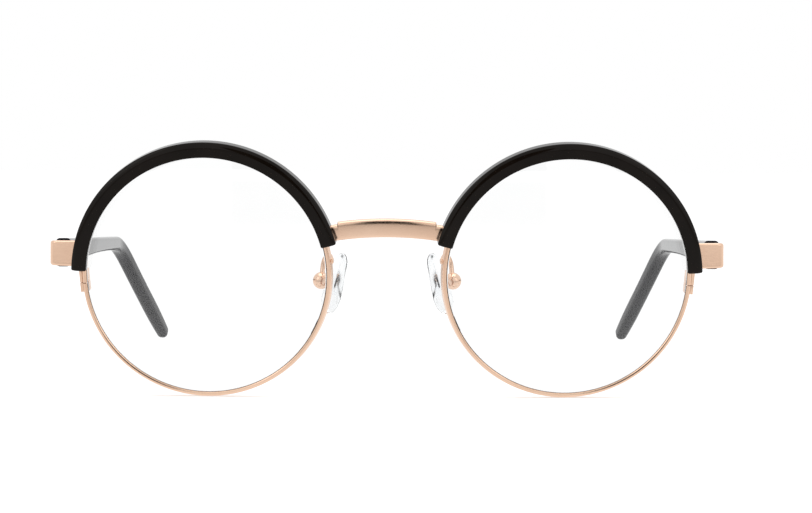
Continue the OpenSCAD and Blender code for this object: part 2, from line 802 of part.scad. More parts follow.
// The plate that the pad is moulded round, and the neck that joins it to the tab
module insert_plate(grow) {
    plate_x = -pad_gap - pad_cover - pad_insert_t;
    translate([plate_x - grow, -pad_insert_w / 2 - grow, -pad_insert_h / 2 - grow])
        cube([pad_insert_t + 2 * grow, pad_insert_w + 2 * grow, pad_insert_h + 2 * grow]);
    translate([-pad_gap - pad_cover - grow, -pad_tab_t / 2 - grow, -pad_neck - grow])
        cube([pad_gap + pad_cover + grow, pad_tab_t + 2 * grow, 2 * (pad_neck + grow)]);
}

module pad_insert() {
    color(clear) in_pad() difference() {
        union() {
            insert_plate(0);
            translate([0, -pad_tab_t / 2, 0]) pin_y(pad_tab_r, pad_tab_t);
        }
        translate([0, -past / 2, 0]) pin_y(pad_screw_d / 2 + pin_play, past);
    }
}

// The pad's drop outline is a small round above a large one, crowned towards the nose
module nose_pad() {
    low_z = -pad_len / 2 + pad_w / 2;
    high_z = pad_len / 2 - pad_top_w / 2;
    side_x = -pad_gap - pad_t / 2;
    color(clear) in_pad() difference() {
        hull() {
            for (round = [[low_z, pad_w], [low_z / 2, pad_w * pad_middle_share], [high_z, pad_top_w]])
                translate([side_x, 0, round[0]])
                scale([pad_t / round[1], 1, 1]) sphere(d = round[1], $fn = ball_fn);
        }
        insert_plate(seat_gap);
    }
}

// The arm's wire leaves the rim's nose side, swings back and comes down onto the box
arm_sides = 10;
arm_steps = 14;
arm_root_up = 2.9;
arm_root_x = lens_x - sqrt(rim_r_out * rim_r_out - arm_root_up * arm_root_up);
arm_root_front = -0.2;
arm_inward = 0.2;
arm_reach = 0.8;
arm_rise = 0.7;
arm_swing = 2.2;
arm_top = 1;
arm_end_up = 1.1;

// The four points that steer the wire's curve
arm_line = [
    [arm_root_x, arm_root_front, arm_root_up],
    [arm_root_x - arm_inward, pad_back * arm_reach, arm_root_up + arm_rise],
    [pad_x - arm_inward, pad_back + arm_swing, arm_root_up + arm_top],
    [pad_x - arm_inward, pad_back, arm_end_up - pad_down]
];

function bezier(p, t) = pow(1 - t, 3) * p[0] + 3 * t * pow(1 - t, 2) * p[1]
    + 3 * t * t * (1 - t) * p[2] + pow(t, 3) * p[3];
function bezier_dir(p, t) =
    let (d = pow(1 - t, 2) * (p[1] - p[0]) + 2 * t * (1 - t) * (p[2] - p[1]) + t * t * (p[3] - p[2]))
    d / norm(d);

// A direction that the wire never runs along, from which its rings are turned
arm_upright = [0.4, 0, 1];

arm_rings = [for (i = [0:arm_steps])
    let (
        p = bezier(arm_line, i / arm_steps),
        along = bezier_dir(arm_line, i / arm_steps),
        side = cross(arm_upright, along) / norm(cross(arm_upright, along)),
        over = cross(along, side)
    )
    [for (k = [0:arm_sides - 1])
        let (turn = 360 * k / arm_sides)
        p + pad_arm_d / 2 * (side * cos(turn) + over * sin(turn))]];

module pad_arm() {
    color(gold) difference() {
        in_front() polyhedron([for (ring = arm_rings) for (p = ring) p], skin(arm_steps + 1, arm_sides));
        rim_space(rim_depth + seat_gap);
        in_pad() sphere(r = pad_box_r + seat_gap, $fn = 64);
    }
}

rim();  // rim_left
on_right() rim();  // rim_right
lens();  // lens_left
on_right() lens();  // lens_right
brow();  // brow_left
on_right() brow();  // brow_right
brow_screws();  // brow_screws_left
on_right() brow_screws();  // brow_screws_right
bridge();
endpiece();  // endpiece_left
on_right() endpiece();  // endpiece_right
lock_upper();  // lock_upper_left
on_right() lock_upper();  // lock_upper_right
lock_lower();  // lock_lower_left
on_right() lock_lower();  // lock_lower_right
lock_screw();  // lock_screw_left
on_right() lock_screw();  // lock_screw_right
front_leaf();  // front_leaf_left
on_right() front_leaf();  // front_leaf_right
hinge_screw();  // hinge_screw_left
on_right() hinge_screw();  // hinge_screw_right
temple();  // temple_left
on_right() temple();  // temple_right
temple_leaf();  // temple_leaf_left
on_right() temple_leaf();  // temple_leaf_right
leaf_rivets();  // leaf_rivets_left
on_right() leaf_rivets();  // leaf_rivets_right
core_wire();  // core_wire_left
on_right() core_wire();  // core_wire_right
pad_arm();  // pad_arm_left
on_right() pad_arm();  // pad_arm_right
pad_box();  // pad_box_left
on_right() pad_box();  // pad_box_right
pad_screw();  // pad_screw_left
on_right() pad_screw();  // pad_screw_right
pad_insert();  // pad_insert_left
on_right() pad_insert();  // pad_insert_right
nose_pad();  // nose_pad_left
on_right() nose_pad();  // nose_pad_right
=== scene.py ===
# %% [markdown]
# # Dressing a round browline spectacle frame
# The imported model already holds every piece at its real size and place, hinged as on the real frame.
# This lesson gives those pieces their looks: the soft edges of polished metal, one even curve for the
# black acetate arcs, clear lenses and silicone pads, and a white studio to photograph them in.

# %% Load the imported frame
import json
import math

import bmesh
import bpy
from mathutils import Matrix, Vector


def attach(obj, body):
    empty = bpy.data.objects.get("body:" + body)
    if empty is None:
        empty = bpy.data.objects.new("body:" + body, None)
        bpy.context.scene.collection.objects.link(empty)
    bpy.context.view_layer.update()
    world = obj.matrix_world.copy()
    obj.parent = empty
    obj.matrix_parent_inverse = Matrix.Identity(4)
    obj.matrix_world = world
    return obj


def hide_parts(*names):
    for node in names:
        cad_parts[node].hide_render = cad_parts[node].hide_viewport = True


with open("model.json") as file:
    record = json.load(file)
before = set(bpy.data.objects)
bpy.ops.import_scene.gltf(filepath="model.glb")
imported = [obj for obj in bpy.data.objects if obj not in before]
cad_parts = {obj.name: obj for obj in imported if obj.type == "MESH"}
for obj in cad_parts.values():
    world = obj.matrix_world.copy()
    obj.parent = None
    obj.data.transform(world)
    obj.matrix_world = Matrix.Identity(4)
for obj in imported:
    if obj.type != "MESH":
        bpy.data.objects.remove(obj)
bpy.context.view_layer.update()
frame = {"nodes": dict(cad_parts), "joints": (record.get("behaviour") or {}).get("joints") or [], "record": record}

MM = 0.001
joints = {joint["name"]: joint for joint in frame["joints"]}

# %% [markdown]
# ## Frames of reference
# The front leans forward a little as it stands on the table, and each lens is turned towards its
# temple. A ring is easiest to draw flat and upright, so each piece is drawn in the frame of the thing
# that carries it: the lens, the hinge or the pad box. In the lens frame X points out to the temple,
# Y runs backwards in depth and Z is up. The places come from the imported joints, so nothing has to be
# fitted by eye.

# %% Find the lens, front, hinge and pad frames of the left side
FRONT_TILT = math.radians(8.4)
FACE_WRAP = math.radians(3.4)
PAD_SPLAY = math.radians(30)
PAD_LEAN = math.radians(18)
TEMPLE_TOE_IN = math.radians(0.7)
LENS_X = 36.6 * MM
HINGE_BACK = 11.5 * MM
HINGE_UP = 3.8 * MM


def turn(angle, axis):
    return Matrix.Rotation(angle, 4, axis)


def at(place):
    return Matrix.Translation(Vector(place))


fold = joints["temple_left_fold"]
lens_centre = Vector((LENS_X, fold["pos_m"][1] - HINGE_BACK, fold["pos_m"][2] - HINGE_UP))
LENS = at(lens_centre) @ turn(FRONT_TILT, "X") @ turn(FACE_WRAP, "Z")
FRONT = at((0, lens_centre.y, lens_centre.z)) @ turn(FRONT_TILT, "X")
HINGE = at(fold["pos_m"]) @ turn(-math.asin(fold["axis"][1]), "X")
TEMPLE = HINGE @ turn(TEMPLE_TOE_IN, "Z")
PAD = at(joints["pad_left_rock"]["pos_m"]) @ turn(FRONT_TILT, "X")
PAD = PAD @ turn(-PAD_SPLAY, "Z") @ turn(-PAD_LEAN, "Y")
STAY = Matrix.Identity(4)
print("lens centre in mm:", [round(v / MM, 2) for v in lens_centre])

# %% [markdown]
# ## Small tools for shapes
# Most pieces here are one outline carried along a path. Sharp corners look like plastic toys, so an
# outline is written as its corners with a radius each, and one helper turns the corners into arcs. A
# second joins outlines of equal length into a closed skin, and a third closes round rows in a point
# at each end. The others turn a skin into an object, mirrored when it belongs to the right side.

# %% Round the corners of an outline
def filleted(corners, steps):
    """Points of a polygon whose corners are given as (x, y, radius)."""
    outline = []
    for i, (x, y, radius) in enumerate(corners):
        here = Vector((x, y))
        before = (Vector(corners[i - 1][:2]) - here).normalized()
        after = (Vector(corners[(i + 1) % len(corners)][:2]) - here).normalized()
        if radius == 0:
            outline.append(here)
            continue
        half = before.angle(after) / 2
        centre = here + (before + after).normalized() * radius / math.sin(half)
        first = here + before * radius / math.tan(half) - centre
        last = here + after * radius / math.tan(half) - centre
        start = math.atan2(first.y, first.x)
        sweep = (math.atan2(last.y, last.x) - start + math.pi) % (2 * math.pi) - math.pi
        for k in range(steps + 1):
            angle = start + sweep * k / steps
            outline.append(centre + radius * Vector((math.cos(angle), math.sin(angle))))
    return outline


# %% Join rings of points into a closed skin
def skinned(rings):
    """Vertices and faces of a tube through the rings, shut at both ends."""
    sides = len(rings[0])
    vertices = [p for ring in rings for p in ring]
    faces = [list(range(sides)), list(range(len(vertices) - sides, len(vertices)))]
    for i in range(len(rings) - 1):
        for j in range(sides):
            a = i * sides + j
            b = i * sides + (j + 1) % sides
            faces.append([a, b, b + sides, a + sides])
    return vertices, faces


def domed(poles, rows):
    """Vertices and faces of round rows that close in a point at either end."""
    sides = len(rows[0])
    last = 2 + (len(rows) - 1) * sides
    faces = []
    for k in range(sides):
        after = (k + 1) % sides
        faces.append([0, 2 + k, 2 + after])
        faces.append([1, last + after, last + k])
        for i in range(len(rows) - 1):
            row = 2 + i * sides
            faces.append([row + k, row + sides + k, row + sides + after, row + after])
    return [*poles, *(p for row in rows for p in row)], faces


# %% Turn a skin into a finished piece of one side
WELD = 0.0005 * MM


def plain_mesh(name, points, faces=(), edges=()):
    mesh = bpy.data.meshes.new(name)
    mesh.from_pydata([tuple(p) for p in points], edges, faces)
    return mesh


def in_scene(name, data):
    """A new object that holds a mesh, lamp or camera and stands in the scene."""
    made = bpy.data.objects.new(name, data)
    bpy.context.scene.collection.objects.link(made)
    return made


def settle(mesh, place, side, sharp=35):
    """Place the mesh, mirror it for the right side, and shade it smooth between edges."""
    mesh.transform(place)
    if side == "right":
        mesh.transform(Matrix.Scale(-1, 4, (1, 0, 0)))
    shell = bmesh.new()
    shell.from_mesh(mesh)
    bmesh.ops.remove_doubles(shell, verts=shell.verts, dist=WELD)
    bmesh.ops.recalc_face_normals(shell, faces=shell.faces)
    shell.to_mesh(mesh)
    shell.free()
    mesh.shade_smooth()
    mesh.set_sharp_from_angle(angle=math.radians(sharp))
    return mesh


def worked_out(name, holder):
    """The mesh that an object's modifiers make, kept while the object goes."""
    view = bpy.context.evaluated_depsgraph_get()
    mesh = bpy.data.meshes.new_from_object(holder.evaluated_get(view), depsgraph=view)
    bpy.data.objects.remove(holder)
    mesh.name = name
    return mesh


def baked(name, mesh, kind, **settings):
    """A copy of the mesh with one modifier worked into it."""
    holder = in_scene(name + "_seed", mesh)
    step = holder.modifiers.new("step", kind)
    for label, value in settings.items():
        setattr(step, label, value)
    return worked_out(name, holder)


def add_piece(name, mesh, body, finish, replaced):
    """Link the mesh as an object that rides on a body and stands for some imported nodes."""
    mesh = baked(name, mesh, "WEIGHTED_NORMAL", keep_sharp=True)
    mesh.materials.clear()
    mesh.materials.append(FINISHES[finish])
    for polygon in mesh.polygons:
        polygon.material_index = 0
    piece = in_scene(name, mesh)
    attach(piece, body)
    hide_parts(*replaced)
    return piece


SIDES = ("left", "right")
print("shape tools ready")

# %% [markdown]
# ## Finishes
# Every finish is made of nodes that read Object coordinates, so it needs no picture and fits any
# piece. The plated metal is not one colour: the plating is a touch redder in places, and wiping
# leaves hair-fine scratches that break up the reflection. Polished acetate is nearly black and shows
# itself only by what it mirrors, with a faint waviness from the polishing wheel.

# %% Node helpers shared by the finishes and the growing trees
def feed(tree, node, inputs):
    """Give a node its inputs: plain values, outputs, or nodes that stand for their first output."""
    for name, value in inputs.items():
        socket = node.inputs[name]
        if isinstance(value, bpy.types.Node):
            value = value.outputs[0]
        if isinstance(value, bpy.types.NodeSocket):
            tree.links.new(value, socket)
        else:
            socket.default_value = value


def wired(tree, kind, inputs=None, **settings):
    """Add a node with its inputs and settings."""
    made = tree.nodes.new(kind)
    for name, value in settings.items():
        setattr(made, name, value)
    feed(tree, made, inputs or {})
    return made


def maths(tree, operation, first, second):
    return wired(tree, "ShaderNodeMath", {0: first, 1: second}, operation=operation)


# %% Noise, tones and bumps
NOISE_SPREAD = (0.3, 0.7)
TONE_SPREAD = (0.35, 0.65)


def new_finish(name):
    finish = bpy.data.materials.new(name)
    finish.use_nodes = True
    tree = finish.node_tree
    place = wired(tree, "ShaderNodeTexCoord").outputs["Object"]
    return finish, tree, tree.nodes["Principled BSDF"], place


def noise(tree, place, scale, detail, stretch=(1, 1, 1)):
    """Noise with a given number of features per metre along each axis."""
    spread = wired(tree, "ShaderNodeMapping", {"Vector": place, "Scale": stretch})
    made = wired(tree, "ShaderNodeTexNoise", {
        "Vector": spread, "Scale": scale, "Detail": detail})
    return made.outputs["Fac"]


def between(tree, amount, low, high):
    """Spread the middle of a noise over the values from low to high."""
    return wired(tree, "ShaderNodeMapRange", {
        "Value": amount, "From Min": NOISE_SPREAD[0], "From Max": NOISE_SPREAD[1],
        "To Min": low, "To Max": high})


def two_tones(tree, amount, first, second):
    """Colour that drifts from one tone to the other with the noise."""
    ramp = wired(tree, "ShaderNodeValToRGB", {"Fac": amount})
    for k, tone in enumerate((first, second)):
        ramp.color_ramp.elements[k].position = TONE_SPREAD[k]
        ramp.color_ramp.elements[k].color = (*tone, 1)
    return ramp


def dented(tree, shader, height, depth):
    bump = wired(tree, "ShaderNodeBump", {"Height": height, "Distance": depth, "Strength": 1.0})
    feed(tree, shader, {"Normal": bump})


def show_mix(tree, share, first, second):
    """Show the second shader where the share is 1 and the first where it is 0."""
    mix = wired(tree, "ShaderNodeMixShader", {"Fac": share, 1: first, 2: second})
    feed(tree, tree.nodes["Material Output"], {"Surface": mix})


# %% Rose-gold plating
SCRATCH_DEPTH = 0.0008 * MM


def plated_metal(name, warm, pale, smooth, rough):
    finish, tree, shader, place = new_finish(name)
    drift = noise(tree, place, scale=120, detail=3.0)
    wipe = noise(tree, place, scale=900, detail=4.0, stretch=(1, 1, 6))
    feed(tree, shader, {
        "Base Color": two_tones(tree, drift, warm, pale),
        "Roughness": between(tree, wipe, smooth, rough), "Metallic": 1.0})
    dented(tree, shader, wipe, SCRATCH_DEPTH)
    return finish


# %% Polished black acetate
ACETATE_IOR = 1.48
ACETATE_ROUGH = (0.06, 0.09)
WAVE_DEPTH = 0.002 * MM


def black_acetate(name, first, second, mirror):
    finish, tree, shader, place = new_finish(name)
    drift = noise(tree, place, scale=160, detail=3.0)
    haze = noise(tree, place, scale=200, detail=1.0)
    wave = noise(tree, place, scale=200, detail=0.0)
    feed(tree, shader, {
        "Base Color": two_tones(tree, drift, first, second),
        "Roughness": between(tree, haze, *ACETATE_ROUGH),
        "IOR": ACETATE_IOR, "Specular IOR Level": mirror})
    dented(tree, shader, wave, WAVE_DEPTH)
    return finish


# %% Clear plastics, which let the lamps through to what is behind them
def clear_plastic(name, first, second, ior, smooth, rough, mirror):
    finish, tree, shader, place = new_finish(name)
    smudge = noise(tree, place, scale=300, detail=3.0)
    feed(tree, shader, {
        "Base Color": two_tones(tree, smudge, first, second),
        "Roughness": between(tree, smudge, smooth, rough),
        "IOR": ior, "Specular IOR Level": mirror, "Transmission Weight": 1.0})
    is_shadow = wired(tree, "ShaderNodeLightPath").outputs["Is Shadow Ray"]
    open_air = wired(tree, "ShaderNodeBsdfTransparent", {"Color": (*second, 1)})
    show_mix(tree, is_shadow, shader, open_air)
    return finish


# %% Drawn steel wire, hidden in the temples
STEEL_TONES = ((0.5, 0.5, 0.51), (0.66, 0.66, 0.67))
STEEL_ROUGH = (0.25, 0.4)


def drawn_steel(name):
    finish, tree, shader, place = new_finish(name)
    lines = noise(tree, place, scale=1500, detail=3.0, stretch=(1, 0.05, 1))
    feed(tree, shader, {
        "Base Color": two_tones(tree, lines, *STEEL_TONES),
        "Roughness": between(tree, lines, *STEEL_ROUGH), "Metallic": 1.0})
    return finish


# %% Mix the finishes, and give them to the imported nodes
FINISHES = {
    "rose_gold": plated_metal(
        "rose_gold", warm=(0.78, 0.53, 0.385), pale=(0.83, 0.58, 0.43), smooth=0.14, rough=0.22),
    "screw_metal": plated_metal(
        "screw_metal", warm=(0.72, 0.50, 0.37), pale=(0.80, 0.58, 0.45), smooth=0.2, rough=0.3),
    "core_steel": drawn_steel("core_steel"),
    "brow_acetate": black_acetate(
        "brow_acetate", first=(0.005, 0.0032, 0.0022), second=(0.0075, 0.005, 0.0035), mirror=0.15),
    "temple_acetate": black_acetate(
        "temple_acetate", first=(0.0035, 0.003, 0.005), second=(0.0055, 0.0048, 0.0075), mirror=0.11),
    "lens_clear": clear_plastic(
        "lens_clear", first=(0.99, 0.995, 0.995), second=(1, 1, 1),
        ior=1.5, smooth=0.0, rough=0.01, mirror=0.15),
    "pad_silicone": clear_plastic(
        "pad_silicone", first=(0.93, 0.95, 0.96), second=(0.97, 0.98, 0.99),
        ior=1.41, smooth=0.05, rough=0.12, mirror=0.3),
    "insert_plastic": clear_plastic(
        "insert_plastic", first=(0.95, 0.96, 0.97), second=(0.98, 0.985, 0.99),
        ior=1.1, smooth=0.03, rough=0.08, mirror=0.3),
}
for part in frame["record"]["subparts"]:
    slots = frame["nodes"][part["node"]].data.materials
    slots.clear()
    slots.append(FINISHES[part["material_slot"]])
print("finishes:", ", ".join(FINISHES))

# %% [markdown]
# ## A tree that sweeps an outline round the lens
# Rims are bent from straight wire, whose section never changes, so the shape follows one rule: an
# outline carried round the lens axis. That is a job for Geometry Nodes. The object's own mesh is the
# outline, drawn as radius and depth, and the tree turns it into a curve, sweeps it along an arc and
# shuts both ends. Sizes are named inputs, so the same tree could bend a wire of any size.

# %% Start a growing tree with named inputs
SOCKETS = {float: "NodeSocketFloat", int: "NodeSocketInt", "material": "NodeSocketMaterial"}


def growing_tree(name, inputs):
    """A Geometry Nodes tree with geometry in and out, and named inputs of their kinds."""
    tree = bpy.data.node_groups.new(name, "GeometryNodeTree")
    tree.interface.new_socket("Geometry", in_out="INPUT", socket_type="NodeSocketGeometry")
    tree.interface.new_socket("Geometry", in_out="OUTPUT", socket_type="NodeSocketGeometry")
    for label, kind in inputs.items():
        tree.interface.new_socket(label, in_out="INPUT", socket_type=SOCKETS[kind])
    return tree, tree.nodes.new("NodeGroupInput").outputs


def finish_tree(tree, grown, given):
    """End the tree with real geometry and its material."""
    real = wired(tree, "GeometryNodeRealizeInstances", {"Geometry": grown})
    dressed = wired(tree, "GeometryNodeSetMaterial", {
        "Geometry": real, "Material": given["Material"]})
    wired(tree, "NodeGroupOutput", {"Geometry": dressed})
    return tree


# %% Grow a mesh with a tree, and keep the result
def grow(name, seed_mesh, tree, values):
    holder = in_scene(name + "_seed", seed_mesh)
    growth = holder.modifiers.new("growth", "NODES")
    growth.node_group = tree
    for item in tree.interface.items_tree:
        if item.in_out == "INPUT" and item.name in values:
            growth[item.identifier] = values[item.name]
    return worked_out(name, holder)


def outline_mesh(name, points, closed=True):
    """A mesh with only the edges of an outline or a path."""
    count = len(points)
    edges = [(i, (i + 1) % count) for i in range(count if closed else count - 1)]
    return plain_mesh(name, [(*p, 0)[:3] for p in points], edges=edges)


# %% The sweep itself
def ring_tree():
    tree, given = growing_tree("outline round the lens", {
        "Radius": float, "From angle": float, "Sweep": float, "Steps": int, "Material": "material"})
    outline = wired(tree, "GeometryNodeMeshToCurve", {"Mesh": given["Geometry"]})
    arc = wired(tree, "GeometryNodeCurveArc", {
        "Resolution": given["Steps"], "Radius": given["Radius"],
        "Start Angle": given["From angle"], "Sweep Angle": given["Sweep"]})
    upright = wired(tree, "GeometryNodeSetCurveNormal", {"Curve": arc}, mode="Z_UP")
    swept = wired(tree, "GeometryNodeCurveToMesh", {
        "Curve": upright, "Profile Curve": outline, "Fill Caps": True})
    return finish_tree(tree, swept, given)


RING_TREE = ring_tree()
ARC_TO_LENS = turn(math.radians(90), "X")
print("ring tree has", len(RING_TREE.nodes), "nodes")

# %% [markdown]
# ## Rims
# The rim is a soft-edged wire with a V groove inside for the lens. Its section leans, a little wider
# behind than in front, as the lens bevel does. In front, its inner edge falls away in a shallow
# slope, which mirrors the dark line of the lower rims. The wire is sawn through once, beside the
# closing block, and that hairline shows in the photograph, so the sweep stops just short of a full
# turn instead of closing on itself.

# %% Sweep both rims
LENS_R = 25.0 * MM
RIM_IN = 24.5 * MM
RIM_OUT = 25.5 * MM
RIM_DEPTH = 2.0 * MM
RIM_LEAN = math.tan(math.radians(11.5))
RIM_SOFT = 0.36 * MM
RIM_SOFT_IN = 0.44 * MM
RIM_SLOPE_W = 0.62 * MM
RIM_SLOPE_MID = Vector((0.34, 0.08)) * MM
RIM_SLOPE_LOW = 0.34 * MM
RIM_SLOPE_SOFT = (0.12 * MM, 0.15 * MM, 0.4 * MM)
LENS_GROOVE = 0.5 * MM
RIM_SLIT = 0.15 * MM
RIM_STEPS = 321
LOCK_ANGLE = math.radians(5)


def leaned(points):
    """Points of a section, each moved out by its depth behind the middle of the rim."""
    return [Vector((p[0] + (p[1] - RIM_DEPTH / 2) * RIM_LEAN, p[1])) for p in points]


def rim_outline():
    """Radius and depth of the wire's section, from its path at the lens radius."""
    front, back, middle = 0, RIM_DEPTH, RIM_DEPTH / 2
    low, mid, high = RIM_SLOPE_SOFT
    corners = [
        (RIM_OUT, front, RIM_SOFT), (RIM_OUT, back, RIM_SOFT),
        (RIM_IN, back, RIM_SOFT_IN), (RIM_IN, middle + LENS_GROOVE, 0),
        (LENS_R, middle, 0), (RIM_IN, middle - LENS_GROOVE, 0),
        (RIM_IN, RIM_SLOPE_LOW, low), (RIM_IN + RIM_SLOPE_MID.x, RIM_SLOPE_MID.y, mid),
        (RIM_IN + RIM_SLOPE_W, front, high)]
    return [(p.x - LENS_R, p.y) for p in leaned(filleted(corners, steps=6))]


for side in SIDES:
    gap = RIM_SLIT / RIM_OUT
    wire = grow("rim_wire_" + side, outline_mesh("rim outline", rim_outline()), RING_TREE, {
        "Radius": LENS_R, "From angle": gap / 2 - LOCK_ANGLE, "Sweep": 2 * math.pi - gap,
        "Steps": RIM_STEPS, "Material": FINISHES["rose_gold"]})
    settle(wire, LENS @ ARC_TO_LENS, side)
    rim = add_piece("rim_wire_" + side, wire, "front", "rose_gold", ["rim_" + side])
    print(rim.name, len(wire.polygons), "faces")

# %% [markdown]
# ## Brow arcs
# The black arc is milled from a sheet of acetate. It laps over the front of the rim and reaches round
# its outside, and its front rolls over into a broad bevel along the outer edge that catches a lighter
# line. Its two ends are rounded over by polishing. A sweep has square ends, so here the rings are
# placed one by one: the last few at each end shrink towards their middle along a quarter circle.

# %% Outline of the brow's section
BROW_IN = 24.3 * MM
BROW_OUT = 27.4 * MM
BROW_LIP = 1.8 * MM
BROW_SKIRT = 1.6 * MM
BROW_BEVEL_W = 0.8 * MM
BROW_BEVEL_H = 0.5 * MM
BROW_FIT = 0.05 * MM
BROW_CROWN = 1.9 * MM
BROW_END_ROUND = 0.4 * MM
BROW_FROM = math.radians(1.4)
BROW_TO = math.radians(180 - 14.5)
BROW_STEPS = 170


def rim_wall(depth):
    """Radius of the arc's inner wall, which follows the leaning rim with a little room."""
    return RIM_OUT + BROW_FIT + (depth - RIM_DEPTH / 2) * RIM_LEAN


brow_outline = filleted([
    (BROW_IN, -BROW_FIT, 0.1 * MM), (BROW_IN, -BROW_LIP, 0.2 * MM),
    (BROW_OUT - BROW_BEVEL_W, -BROW_LIP, BROW_CROWN), (BROW_OUT, BROW_BEVEL_H - BROW_LIP, 0.3 * MM),
    (BROW_OUT, BROW_SKIRT, 0.35 * MM), (rim_wall(BROW_SKIRT), BROW_SKIRT, 0.1 * MM),
    (rim_wall(-BROW_FIT), -BROW_FIT, 0)], steps=6)


# %% Rings along an arc, with rounded ends
def stations(length, radius, end_steps, steps=1):
    """Distances along a bar with rounded ends, and how far the section shrinks at each."""
    quarter = [math.radians(90) * (1 - k / end_steps) for k in range(end_steps + 1)]
    start = [(radius * (1 - math.sin(a)), radius * (1 - math.cos(a))) for a in quarter]
    inner = [(radius + (length - 2 * radius) * k / steps, 0) for k in range(1, steps)]
    end = [(length - s, inset) for s, inset in reversed(start)]
    return start + inner + end


def shrunk(outline, inset):
    """The outline drawn in towards its middle by about the inset on every side."""
    xs = [p[0] for p in outline]
    ys = [p[1] for p in outline]
    mid = Vector(((min(xs) + max(xs)) / 2, (min(ys) + max(ys)) / 2))
    half = Vector(((max(xs) - min(xs)) / 2, (max(ys) - min(ys)) / 2))
    share = Vector((1 - inset / half.x, 1 - inset / half.y))
    return [Vector((mid.x + (p[0] - mid.x) * share.x, mid.y + (p[1] - mid.y) * share.y))
            for p in outline]


def round_lens(angle, radius, depth):
    """A place in the lens frame, at an angle above level."""
    return (radius * math.cos(angle), depth, radius * math.sin(angle))


brow_length = (BROW_TO - BROW_FROM) * BROW_OUT
for side in SIDES:
    rings = []
    for distance, inset in stations(brow_length, BROW_END_ROUND, end_steps=6, steps=BROW_STEPS):
        angle = BROW_FROM + distance / BROW_OUT
        rings.append([round_lens(angle, r, depth) for r, depth in shrunk(brow_outline, inset)])
    mesh = settle(plain_mesh("brow_arc_" + side, *skinned(rings)), LENS, side, sharp=50)
    brow = add_piece("brow_arc_" + side, mesh, "front", "brow_acetate", ["brow_" + side])
    print(brow.name, len(brow.data.polygons), "faces")

# %% [markdown]
# ## Lenses
# A demonstration lens is a shallow dish of clear plastic. Both faces are parts of one large sphere,
# so a turned profile with many rings gives a smooth reflection, where a flat disc would give none.

# %% Turn both lenses
LENS_CURVE_R = 130 * MM
LENS_T = 1.7 * MM
LENS_EDGE_R = RIM_IN - 0.04 * MM
LENS_PLAY = 0.08 * MM
LENS_SIDES = 160
LENS_ROWS = 24


def lens_sag(r):
    return LENS_CURVE_R - math.sqrt(LENS_CURVE_R ** 2 - r ** 2)


def lens_profile():
    """Radius and depth of the lens, from the middle of its front face round to its back."""
    middle, half = RIM_DEPTH / 2, LENS_T / 2
    edges = [LENS_EDGE_R - half * RIM_LEAN, LENS_EDGE_R + half * RIM_LEAN]
    faces = []
    for edge, depth in zip(edges, (middle - half, middle + half)):
        radii = [edge * k / LENS_ROWS for k in range(1, LENS_ROWS + 1)]
        faces.append([(r, depth - lens_sag(edge) + lens_sag(r)) for r in radii])
    return faces[0] + [(LENS_R - LENS_PLAY, middle)] + faces[1][::-1]


def lathed(profile, sides):
    """Vertices and faces of a profile turned about the Y axis."""
    angles = [2 * math.pi * k / sides for k in range(sides)]
    poles = [(0, profile[0][1], 0), (0, profile[-1][1], 0)]
    return domed(poles, [[round_lens(a, r, depth) for a in angles] for r, depth in profile])


for side in SIDES:
    glass = plain_mesh("lens_dish_" + side, *lathed(lens_profile(), LENS_SIDES))
    settle(glass, LENS, side, sharp=25)
    lens = add_piece("lens_dish_" + side, glass, "front", "lens_clear", ["lens_" + side])
    print(lens.name, len(glass.polygons), "faces")

# %% [markdown]
# ## Bridge
# The bridge is a flat bar, arched as seen from the front and bowed as seen from above, with a lower
# lug soldered under each end. Its front face is slightly crowned by tumbling, which is what turns a
# flat patch of light into a soft gradient. Each bar is a row of upright sections along X.

# %% Build the bar and its two lugs
BRIDGE_UP = 10.1 * MM
BRIDGE_H = 3.8 * MM
BRIDGE_T = 1.7 * MM
BRIDGE_ARCH_R = 60 * MM
BRIDGE_BOW_R = 70 * MM
BRIDGE_FRONT = 2.2 * MM
BRIDGE_LUG = 1.1 * MM
BRIDGE_LUG_STEP = 0.5 * MM
BRIDGE_SOFT = 0.6 * MM
BRIDGE_CROWN = 0.12 * MM
BRIDGE_END_ROUND = 0.2 * MM
BRIDGE_STEPS = 40
BAR_HALF = LENS_X - RIM_OUT - BRIDGE_LUG
LUG_REACH = 1.85 * MM
LUG_OVERLAP = 0.5 * MM


def bar_section(height):
    """Height above the bar's middle and depth behind its front, with the front face crowned."""
    low, high = -height / 2, height / 2
    points = filleted([(low, 0, BRIDGE_SOFT), (high, 0, BRIDGE_SOFT),
                       (high, BRIDGE_T, BRIDGE_SOFT), (low, BRIDGE_T, BRIDGE_SOFT)], steps=5)
    cuts = [Vector((low + BRIDGE_SOFT + (height - 2 * BRIDGE_SOFT) * k / 6, 0)) for k in range(1, 6)]
    points = points[:6] + cuts + points[6:]
    return [(p.x, p.y + BRIDGE_CROWN * (2 * p.x / height) ** 2 * (1 - p.y / BRIDGE_T)) for p in points]


def bar_rings(first, last, top_drop=0):
    """Sections of an arched and bowed bar from one X to another."""
    section = bar_section(BRIDGE_H - top_drop)
    arch_z = BRIDGE_UP - BRIDGE_ARCH_R
    rings = []
    for distance, inset in stations(last - first, BRIDGE_END_ROUND, end_steps=4, steps=BRIDGE_STEPS):
        x = first + distance
        high = arch_z + math.sqrt((BRIDGE_ARCH_R + BRIDGE_H / 2 - top_drop) ** 2 - x * x)
        low = arch_z + math.sqrt((BRIDGE_ARCH_R - BRIDGE_H / 2) ** 2 - x * x)
        front = BRIDGE_BOW_R - BRIDGE_FRONT - math.sqrt(BRIDGE_BOW_R ** 2 - x * x)
        middle = (high + low) / 2
        rings.append([(x, front + depth, middle + up) for up, depth in shrunk(section, inset)])
    return rings


